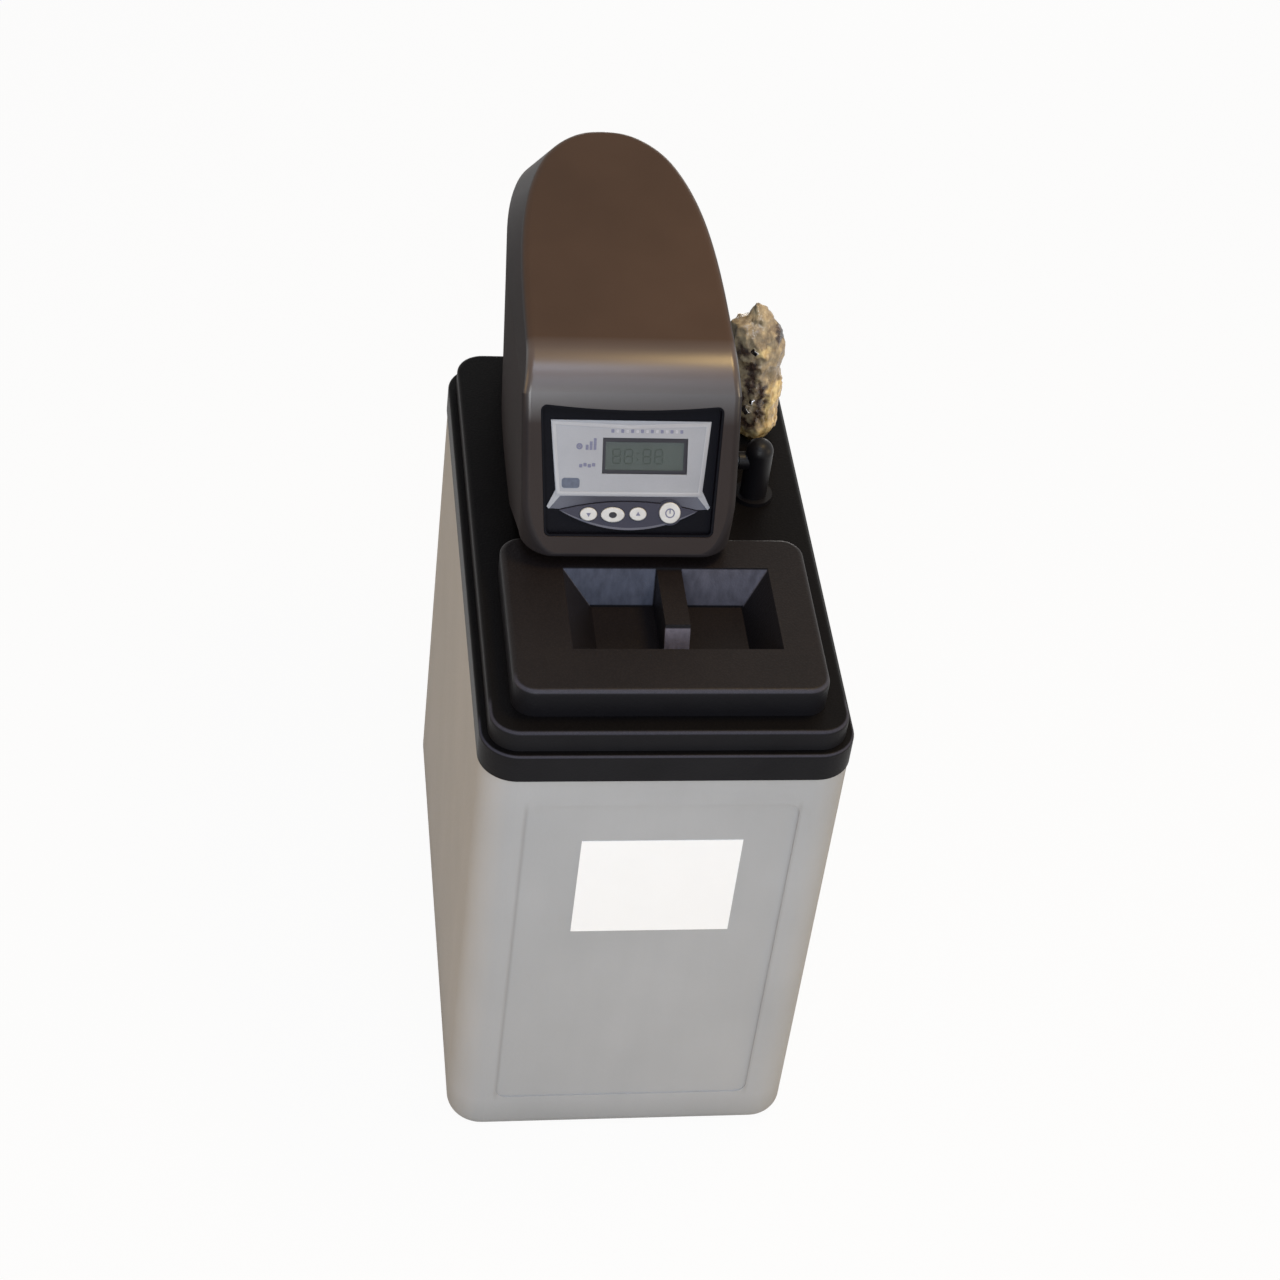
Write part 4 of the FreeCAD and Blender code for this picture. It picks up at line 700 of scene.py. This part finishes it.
def raise_faces(piece, height):
    """Extrudes the faces drawn so far into a plate and leaves edit mode."""
    bmesh.update_edit_mesh(piece.data)
    bpy.ops.mesh.select_all(action="SELECT")
    bpy.ops.mesh.normals_make_consistent(inside=False)
    bpy.ops.mesh.extrude_region_move(TRANSFORM_OT_translate={"value": (0, 0, height)})
    bpy.ops.mesh.select_all(action="SELECT")
    bpy.ops.mesh.normals_make_consistent(inside=False)
    bpy.ops.object.mode_set(mode="OBJECT")


def soften(piece, width, only_sharp=False):
    """Rounds a piece's edges when it settles, or only its sharp ones."""
    soft = piece.modifiers.new("soft edge", "BEVEL")
    soft.width = width
    soft.segments = 2
    if only_sharp:
        soft.limit_method = "ANGLE"


# Trim, prints and marks of the control panel. Sizes and places are in millimetres on the face's own frame.

# How far out of the face the fronts of its plates lie, and how far trim is let into the plate under it.
FASCIA_FRONT = -7.0
WINDOW_FRONT = -7.5
PANEL_FRONT = -5.9
BUTTON_FRONT = -4.1
LET_IN = 0.05

# How thick the marks are: on the fascia, on the buttons and in the display.
PRINT_SKIN = 0.06
KEY_SKIN = 0.07
SEGMENT_SKIN = 0.04

# The middles of the keys, and the radius that the round one needs to move in.
KEYS = {"left_key": (-33.9, 18.0), "select_key": (-13.5, 17.6), "right_key": (7.8, 18.4),
        "round_key": (34.8, 19.6)}
ROUND_KEY_ROOM = 9.6

# The key panel's arcs: half their length, their heights in the middle, and how far each bends to the corners.
EYE_HALF = 58.5
EYE_TOP = 28.5
EYE_TOP_FALL = 7.5
EYE_LOW = 4.5
EYE_LOW_RISE = 16.5

# The lip: its upper corner and its wing's tip on the right, how far it stays above the key panel, where its
# back and its low edge lie, how far it comes forward, and the height where it meets the fascia.
LIP_CORNER = (61.6, 32.8)
LIP_WING = (68.3, 22.3)
LIP_ABOVE = 0.6
LIP_BACK = -8.6
LIP_LOW = -8.3
LIP_FORWARD = 1.15
LIP_MEETS = 33

# The key panel's rim: half its length, its distance from the arc, its thickness in the middle, the half
# length where that would be nought, its height, its steps, and the thickness below which it stops.
RIM_HALF = 56.5
RIM_OFF = 0.1
RIM_THICK = 1.8
RIM_FADES = 57.5
RIM_HEIGHT = 0.3
RIM_STEPS = 96
RIM_LEAST = 0.15

# The display's digits: their middles, their lowest bar, the step between level bars, half their width, and
# the two sizes of bar. Then the colon's place, the heights of its dots and their size.
DIGITS = (-11.5, -1.5, 14.0, 24.0)
DIGIT_FOOT = 60.8
DIGIT_STEP = 6.0
DIGIT_HALF = 3.2
LEVEL_BAR = (5.2, 0.9)
UPRIGHT_BAR = (0.9, 4.6)
COLON = 6.3
COLON_DOTS = (64.2, 69.4)
COLON_DOT = (1.2, 1.2)

# The fascia's marks: a ring with a square, three rising bars, four dots below them, the dark and pale day
# marks above the display, and the blank badge.
RING_AT = (-43, 75)
BARS_AT = (-36.6, 74.2)
DOTS_AT = (-41.5, 58.6)
DAYS_AT = (-15.5, 88.2)
DAY_STEP = 8.3
PALE_SHIFT = 4.2
BADGE_AT = (-49.5, 44)
BADGE_SIZE = (15, 8.5, 0.4)
BADGE_CORNER = 2.2


def out_of_face(height):
    """The face's frame, moved out of it by a height in millimetres."""
    return FACE @ Matrix.Translation((0, 0, height * MM))


def eye_top(u):
    """Height v of the key panel's upper arc at u."""
    share = min(1.0, abs(u) / EYE_HALF)
    return EYE_TOP - EYE_TOP_FALL * share * share


def eye_low(u):
    """Height v of the key panel's lower arc at u."""
    share = min(1.0, abs(u) / EYE_HALF)
    return EYE_LOW + EYE_LOW_RISE * share * share


def round_key_reach(u):
    """Half the height at u of the room kept free round the round key, or nought beside it."""
    return math.sqrt(max(0.0, ROUND_KEY_ROOM ** 2 - (u - KEYS["round_key"][0]) ** 2))


def lip_front(u, v):
    """How far out of the face the lip's front lies at a place: it comes forward towards the fascia."""
    share = (v - eye_top(u)) / max(1.0, LIP_MEETS - eye_top(u))
    return LIP_LOW + LIP_FORWARD * max(0.0, min(1.0, share))


def fascia_lip():
    """The sloping lip from the pale fascia down to the key panel, spreading into a wing at each side."""
    arc = []
    for u in range(-58, 59, 2):
        reach = round_key_reach(u)
        arc.append((u, max(eye_top(u) + LIP_ABOVE, KEYS["round_key"][1] + reach if reach else 0.0)))
    points = [(-LIP_CORNER[0], LIP_CORNER[1]), LIP_CORNER, LIP_WING] + arc[::-1]
    points.append((-LIP_WING[0], LIP_WING[1]))
    lip, mesh = start_outline("fascia_lip")
    mesh.faces.new([mesh.verts.new((u * MM, v * MM, 0)) for u, v in points])
    thickness = 1.0 * MM
    raise_faces(lip, thickness)
    for vertex in lip.data.vertices:
        in_front = vertex.co.z > thickness / 2
        vertex.co.z = MM * (lip_front(vertex.co.x / MM, vertex.co.y / MM) if in_front else LIP_BACK)
    return settle(lip, LIP_SHADED, "cabinet", FACE, smooth=30)


def frame_ring(name, outer, inner, base, height, finish):
    """A flat frame between two outlines, lying at a height on the face."""
    piece, mesh = start_outline(name)
    out = [mesh.verts.new((u * MM, v * MM, base * MM)) for u, v in outer]
    into = [mesh.verts.new((u * MM, v * MM, base * MM)) for u, v in inner]
    for k in range(len(out)):
        after = (k + 1) % len(out)
        mesh.faces.new((out[k], out[after], into[after], into[k]))
    raise_faces(piece, height * MM)
    soften(piece, 0.3 * height * MM)
    return settle(piece, finish, "cabinet", FACE, smooth=30)


def fascia_rim():
    """Raised pale border round the fascia, inside its edge."""
    outer = ((-61.4, 33.6), (61.4, 33.6), (66.8, 96.3), (0, 93.3), (-66.8, 96.3))
    inner = ((-58.4, 36.8), (58.4, 36.8), (63.4, 92.8), (0, 89.9), (-63.4, 92.8))
    return frame_ring("fascia_rim", outer, inner, FASCIA_FRONT - LET_IN, 0.35, RIM_PALE)


def display_frame():
    """Dark mask printed round the display, on the window."""
    outer = ((-23.3, 52.2), (48.1, 52.2), (48.1, 82.3), (-23.3, 82.3))
    inner = ((-20.9, 55.2), (45.0, 55.2), (45.0, 78.9), (-20.9, 78.9))
    return frame_ring("display_frame", outer, inner, WINDOW_FRONT, 0.08, INK_DARK)


def display_segments():
    """Faint unlit segments of the display: four digits with a colon."""
    bars = []
    for u in DIGITS:
        for k in range(3):
            bars.append(slab(u, DIGIT_FOOT + DIGIT_STEP * k, *LEVEL_BAR, SEGMENT_SKIN))
        for side in (-DIGIT_HALF, DIGIT_HALF):
            for k in range(2):
                bars.append(slab(u + side, DIGIT_FOOT + DIGIT_STEP * (k + 0.5), *UPRIGHT_BAR, SEGMENT_SKIN))
    for v in COLON_DOTS:
        bars.append(slab(COLON, v, *COLON_DOT, SEGMENT_SKIN))
    digits = join("display_segments", bars)
    return settle(digits, SEGMENT_GREY, "cabinet", out_of_face(WINDOW_FRONT))


def fascia_prints():
    """Small soft symbols left of the display, a blank badge under them and a row of day marks above."""
    marks = [ring(*RING_AT, 2.0, 0.7), slab(*RING_AT, 2.0, 2.0, PRINT_SKIN)]
    u, v = BARS_AT
    marks += [slab(u + 3.3 * k, v + 1.4 * k, 2.4, 4.4 + 2.8 * k, PRINT_SKIN, 0.4) for k in range(3)]
    u, v = DOTS_AT
    marks += [slab(u + 3.6 * k, v + 0.9 * (k % 2), 2.8, 3.0, PRINT_SKIN, 0.6) for k in range(4)]
    u, v = DAYS_AT
    marks += [slab(u + DAY_STEP * k, v, 2.6, 3.0, PRINT_SKIN, 0.5) for k in range(8)]
    on_fascia = out_of_face(FASCIA_FRONT)
    settle(join("fascia_prints", marks), INK_SLATE, "cabinet", on_fascia)
    pale = [slab(u + PALE_SHIFT + DAY_STEP * k, v, 2.2, 2.6, PRINT_SKIN, 0.5) for k in range(7)]
    settle(join("fascia_day_marks", pale), INK_PALE, "cabinet", on_fascia)
    badge = slab(*BADGE_AT, *BADGE_SIZE, BADGE_CORNER)
    badge.name = "blank_badge"
    settle(badge, BADGE_SLATE, "cabinet", on_fascia, smooth=40)


def key_marks():
    """A plain symbol on each button, riding with it: two arrows, a dot, and a ring with a tick."""
    on_key = out_of_face(BUTTON_FRONT)
    for name, body, turn in (("mark_down", "left_key", -180), ("mark_up", "right_key", 0)):
        arrow = disc(*KEYS[body], 2.3, KEY_SKIN, sides=3)
        arrow.rotation_euler.z = math.radians(turn)
        arrow.name = name
        settle(arrow, INK_SLATE, body, on_key)
    dot = disc(*KEYS["select_key"], 2.6, KEY_SKIN)
    dot.scale.x = 1.3
    dot.name = "mark_select"
    settle(dot, INK_DARK, "select_key", on_key)
    u, v = KEYS["round_key"]
    start = join("mark_start", [ring(u, v, 3.6, 0.55), slab(u, v + 2.0, 1.1, 4.6, KEY_SKIN)])
    settle(start, INK_SLATE, "round_key", on_key)


def key_panel_rim():
    """The paler lower edge of the eye-shaped key panel, a grey border that is partly painted highlight, open
    where the round key moves.
    """
    rim, mesh = start_outline("key_panel_rim")
    rows = []
    for k in range(RIM_STEPS + 1):
        u = -RIM_HALF + 2 * RIM_HALF * k / RIM_STEPS
        foot = eye_low(u) + RIM_OFF
        thick = RIM_THICK * math.sqrt(max(0.02, 1 - (u / RIM_FADES) ** 2))
        reach = round_key_reach(u)
        if reach:
            thick = min(thick, KEYS["round_key"][1] - reach - foot)
        low = mesh.verts.new((u * MM, foot * MM, 0))
        high = mesh.verts.new((u * MM, (foot + thick) * MM, 0))
        rows.append((low, high, thick))
    for (a, b, near), (c, d, far) in zip(rows, rows[1:]):
        if min(near, far) > RIM_LEAST:
            mesh.faces.new((a, c, d, b))
    bmesh.ops.delete(mesh, geom=[v for v in mesh.verts if not v.link_faces], context="VERTS")
    raise_faces(rim, RIM_HEIGHT * MM)
    return settle(rim, LIP_GREY, "cabinet", out_of_face(PANEL_FRONT - LET_IN), smooth=30)


# The bag of loose fittings

# The bag's sections: the share of its height, and there its middle x, half its width and half its depth in
# millimetres.
BAG_ROWS = (
    (0.0, 116, 14, 13), (0.1, 116, 17.5, 15.5), (0.3, 113, 19.5, 16.5), (0.5, 109.5, 20.5, 16.5),
    (0.7, 107, 23, 16), (0.8, 104.8, 21.5, 14.5), (0.86, 101.5, 18, 11), (0.9, 104.5, 10, 8),
    (0.95, 102.8, 7, 5), (1.0, 101.3, 3.2, 2.4),
)

# Its foot and top above the floor and its middle's y in metres, and the shares of its height between which
# it is fully open.
BAG_FOOT = 0.5012
BAG_TOP = 0.647
BAG_Y = 0.137
OPEN_FROM = 0.08
OPEN_TO = 0.93

# The film's folds in metres: how wide and how long they are and how far they reach.
FOLDS = ((0.012, 0.05, 0.0026), (0.010, 0.013, 0.0016), (0.005, 0.007, 0.0007))

# The nuts against the inside of the film: middle and radius in metres, and turn in radians.
NUTS = (
    ((0.1030, 0.1215, 0.540), 0.0050, (0.35, 0.75, 0.2)),
    ((0.1075, 0.1205, 0.550), 0.0038, (1.7, -0.9, 0.4)),
    ((0.1025, 0.1220, 0.606), 0.0050, (0.4, 0.5, 0.5)),
)


def bag_section(t):
    """Middle x, half width and half depth of the bag at height share t, in millimetres."""
    for low, high in zip(BAG_ROWS, BAG_ROWS[1:]):
        if t <= high[0]:
            s = (t - low[0]) / (high[0] - low[0])
            s = s * s * (3 - 2 * s)
            return [a + (b - a) * s for a, b in zip(low[1:], high[1:])]
    return BAG_ROWS[-1][1:]


def bag_opening(t):
    """How far the section has opened at height share t, from nought at the bag's ends to one."""
    if t < OPEN_FROM:
        return math.sqrt(max(0.0, 1 - ((OPEN_FROM - t) / OPEN_FROM) ** 2))
    if t > OPEN_TO:
        return math.sqrt(max(0.0, 1 - ((t - OPEN_TO) / (1 - OPEN_TO)) ** 2))
    return 1.0


def crinkle(point, seed):
    """How far the film is pushed out at a point: long upright pleats with smaller creases across them."""
    move = 0.0
    for across, along, reach in FOLDS:
        at = Vector((point.x / across, point.y / across, point.z / along))
        move += reach * (0.9 - 2.4 * abs(noise.noise(at + Vector((seed, 0, 0)))))
    return move


def film_bag():
    """The clear bag of loose fittings: a pouch whose film falls in pleats, gathered at the top."""
    deselect()
    bpy.ops.mesh.primitive_uv_sphere_add(segments=112, ring_count=96, radius=1)
    bag = started("fittings_bag")
    for vertex in bag.data.vertices:
        x, y, z = vertex.co
        t = math.acos(max(-1, min(1, -z))) / math.pi
        turn = math.atan2(y, x)
        middle, wide, deep = bag_section(t)
        opening = bag_opening(t)
        point = Vector((middle * MM + wide * MM * math.cos(turn) * opening,
                        BAG_Y + deep * MM * math.sin(turn) * opening,
                        BAG_FOOT + (BAG_TOP - BAG_FOOT) * t))
        out = Vector((math.cos(turn), math.sin(turn), 0))
        point += out * crinkle(point, 3.7)
        point.z += 0.35 * crinkle(point, 9.1) * math.sin(math.pi * t)
        point.z = max(point.z, BAG_FOOT)
        vertex.co = point
    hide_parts("film_bag")
    return settle(bag, FINISHES["film_bag"], "cabinet", smooth=50)


def hexagon_nut(middle, radius, turn):
    """A small nut with six sides, open through its middle."""
    deselect()
    bpy.ops.mesh.primitive_cylinder_add(vertices=6, radius=radius, depth=0.9 * radius, location=middle,
                                        rotation=turn)
    nut = bpy.context.object
    bpy.ops.object.mode_set(mode="EDIT")
    bpy.ops.mesh.select_all(action="DESELECT")
    mesh = bmesh.from_edit_mesh(nut.data)
    for face in mesh.faces:
        face.select = len(face.verts) == 6
    bmesh.update_edit_mesh(nut.data)
    bpy.ops.mesh.inset(thickness=0.55 * radius)
    bpy.ops.mesh.bridge_edge_loops()
    bpy.ops.mesh.select_all(action="SELECT")
    bpy.ops.mesh.normals_make_consistent(inside=False)
    bpy.ops.object.mode_set(mode="OBJECT")
    soften(nut, 0.5 * MM, only_sharp=True)
    return nut


def bag_nuts():
    """Small plated nuts that press against the inside of the film."""
    nuts = [hexagon_nut(*nut) for nut in NUTS]
    return settle(join("bag_nuts", nuts), FINISHES["loose_nut"], "cabinet", smooth=35)


# Stage, lamps and camera

# The photograph's camera, fitted from the cabinet's edges: its place in metres, which ways its right, top and
# back look, its lens and sensor in millimetres, and the shift of its frame both ways.
CAMERA_PLACE = (-0.3649, -1.8690, 2.1206)
CAMERA_RIGHT = (0.98497, -0.12458, 0.11966)
CAMERA_UP = (-0.00697, 0.6635, 0.74814)
CAMERA_BACK = (-0.17259, -0.73773, 0.65266)
CAMERA_LENS = 80.9
CAMERA_SENSOR = 36
CAMERA_SHIFT = -0.0625


def seen_rays(tree):
    """One for what the camera sees, straight, mirrored or through glass, and nought for other light."""
    rays = add(tree, "LightPath")
    mirrored = add(tree, "Math", operation="MAXIMUM")
    tree.links.new(rays.outputs["Is Camera Ray"], mirrored.inputs[0])
    tree.links.new(rays.outputs["Is Glossy Ray"], mirrored.inputs[1])
    seen = add(tree, "Math", operation="MAXIMUM")
    tree.links.new(mirrored.outputs[0], seen.inputs[0])
    tree.links.new(rays.outputs["Is Transmission Ray"], seen.inputs[1])
    return seen.outputs[0]


def backdrop():
    """A wide pale floor that shows white to the camera and keeps a soft shadow."""
    deselect()
    bpy.ops.mesh.primitive_plane_add(size=14, location=(0, 0, -0.0005))
    floor = started("floor")
    material, tree, shader = new_finish("floor pale")
    tree.links.new(ramp(tree, cloud(tree, place(tree), 0.6), (0.61, 0.565, 0.5), (0.63, 0.585, 0.52)),
                   shader.inputs["Base Color"])
    shader.inputs["Roughness"].default_value = 0.9
    share = add(tree, "Math", operation="MULTIPLY")
    share.inputs[1].default_value = 0.95
    tree.links.new(seen_rays(tree), share.inputs[0])
    glow = add(tree, "Emission", Strength=1.0)
    mix = add(tree, "MixShader")
    tree.links.new(share.outputs[0], mix.inputs[0])
    tree.links.new(shader.outputs["BSDF"], mix.inputs[1])
    tree.links.new(glow.outputs["Emission"], mix.inputs[2])
    tree.links.new(mix.outputs["Shader"], tree.nodes["Material Output"].inputs["Surface"])
    floor.data.materials.append(material)


def sky():
    """Even studio light, shown white to the camera and in glass and metal."""
    world = bpy.data.worlds.new("studio")
    bpy.context.scene.world = world
    world.use_nodes = True
    tree = world.node_tree
    back = tree.nodes["Background"]
    seen = seen_rays(tree)
    level = add(tree, "Mix")
    level.inputs["A"].default_value = 0.25
    level.inputs["B"].default_value = 1.0
    tree.links.new(seen, level.inputs["Factor"])
    tree.links.new(level.outputs["Result"], back.inputs["Strength"])
    tree.links.new(ramp(tree, seen, (1.0, 0.95, 0.88), (1.0, 1.0, 1.0), 0.0, 1.0), back.inputs["Color"])


def lamp(name, place_at, aim, size, power, colour):
    """A soft rectangular lamp aimed at a point, itself out of sight."""
    light = bpy.data.lights.new(name, "AREA")
    light.shape = "RECTANGLE"
    light.size, light.size_y = size
    light.energy = power
    light.color = colour
    holder = bpy.data.objects.new(name, light)
    bpy.context.scene.collection.objects.link(holder)
    holder.location = place_at
    holder.rotation_euler = (Vector(aim) - Vector(place_at)).to_track_quat("-Z", "Y").to_euler()
    holder.visible_camera = False


def studio():
    """The floor, the sky and the lamps round the object."""
    backdrop()
    sky()
    lamp("window", (-0.6, -3.0, 1.7), (0, -0.2, 0.3), (1.3, 1.3), 51, (0.92, 0.96, 1.0))
    lamp("front low", (0.34, -2.2, 1.55), (0.0, 0.0, 0.65), (0.6, 0.3), 1.6, (0.72, 0.83, 1.0))
    lamp("ceiling cool", (-0.06, -0.45, 1.85), (-0.06, -0.45, 0), (0.5, 0.4), 4.4, (0.62, 0.76, 1.0))
    lamp("ceiling front", (0.1, -1.25, 1.85), (0.05, -0.9, 0), (0.5, 0.8), 5, (0.66, 0.79, 1.0))
    lamp("ceiling warm", (0.46, 0.0, 1.85), (0.46, 0.0, 0), (0.36, 0.4), 12, (1.0, 0.7, 0.3))
    lamp("left wall", (-2.6, -0.2, 1.1), (0, 0, 0.4), (1.2, 1.2), 13, (1.0, 0.58, 0.16))
    lamp("right wall", (2.6, -0.7, 1.1), (0, 0, 0.6), (0.5, 0.9), 16, (1.0, 0.78, 0.5))
    lamp("back", (0.6, 2.8, 0.4), (0, 0.3, 0.4), (1.4, 0.6), 17, (1.0, 0.97, 0.93))


def camera():
    """The photograph's high three-quarter view."""
    data = bpy.data.cameras.new("photo camera")
    data.sensor_width = CAMERA_SENSOR
    data.lens = CAMERA_LENS
    data.shift_x = CAMERA_SHIFT
    data.shift_y = CAMERA_SHIFT
    data.clip_end = 50
    holder = bpy.data.objects.new("photo camera", data)
    bpy.context.scene.collection.objects.link(holder)
    turn = Matrix((CAMERA_RIGHT, CAMERA_UP, CAMERA_BACK)).transposed().to_4x4()
    holder.matrix_world = Matrix.Translation(CAMERA_PLACE) @ turn
    bpy.context.scene.camera = holder


dress_nodes()
fascia_lip()
fascia_rim()
display_frame()
display_segments()
fascia_prints()
key_panel_rim()
key_marks()
film_bag()
bag_nuts()
studio()
camera()
bpy.context.scene.view_settings.view_transform = "Standard"
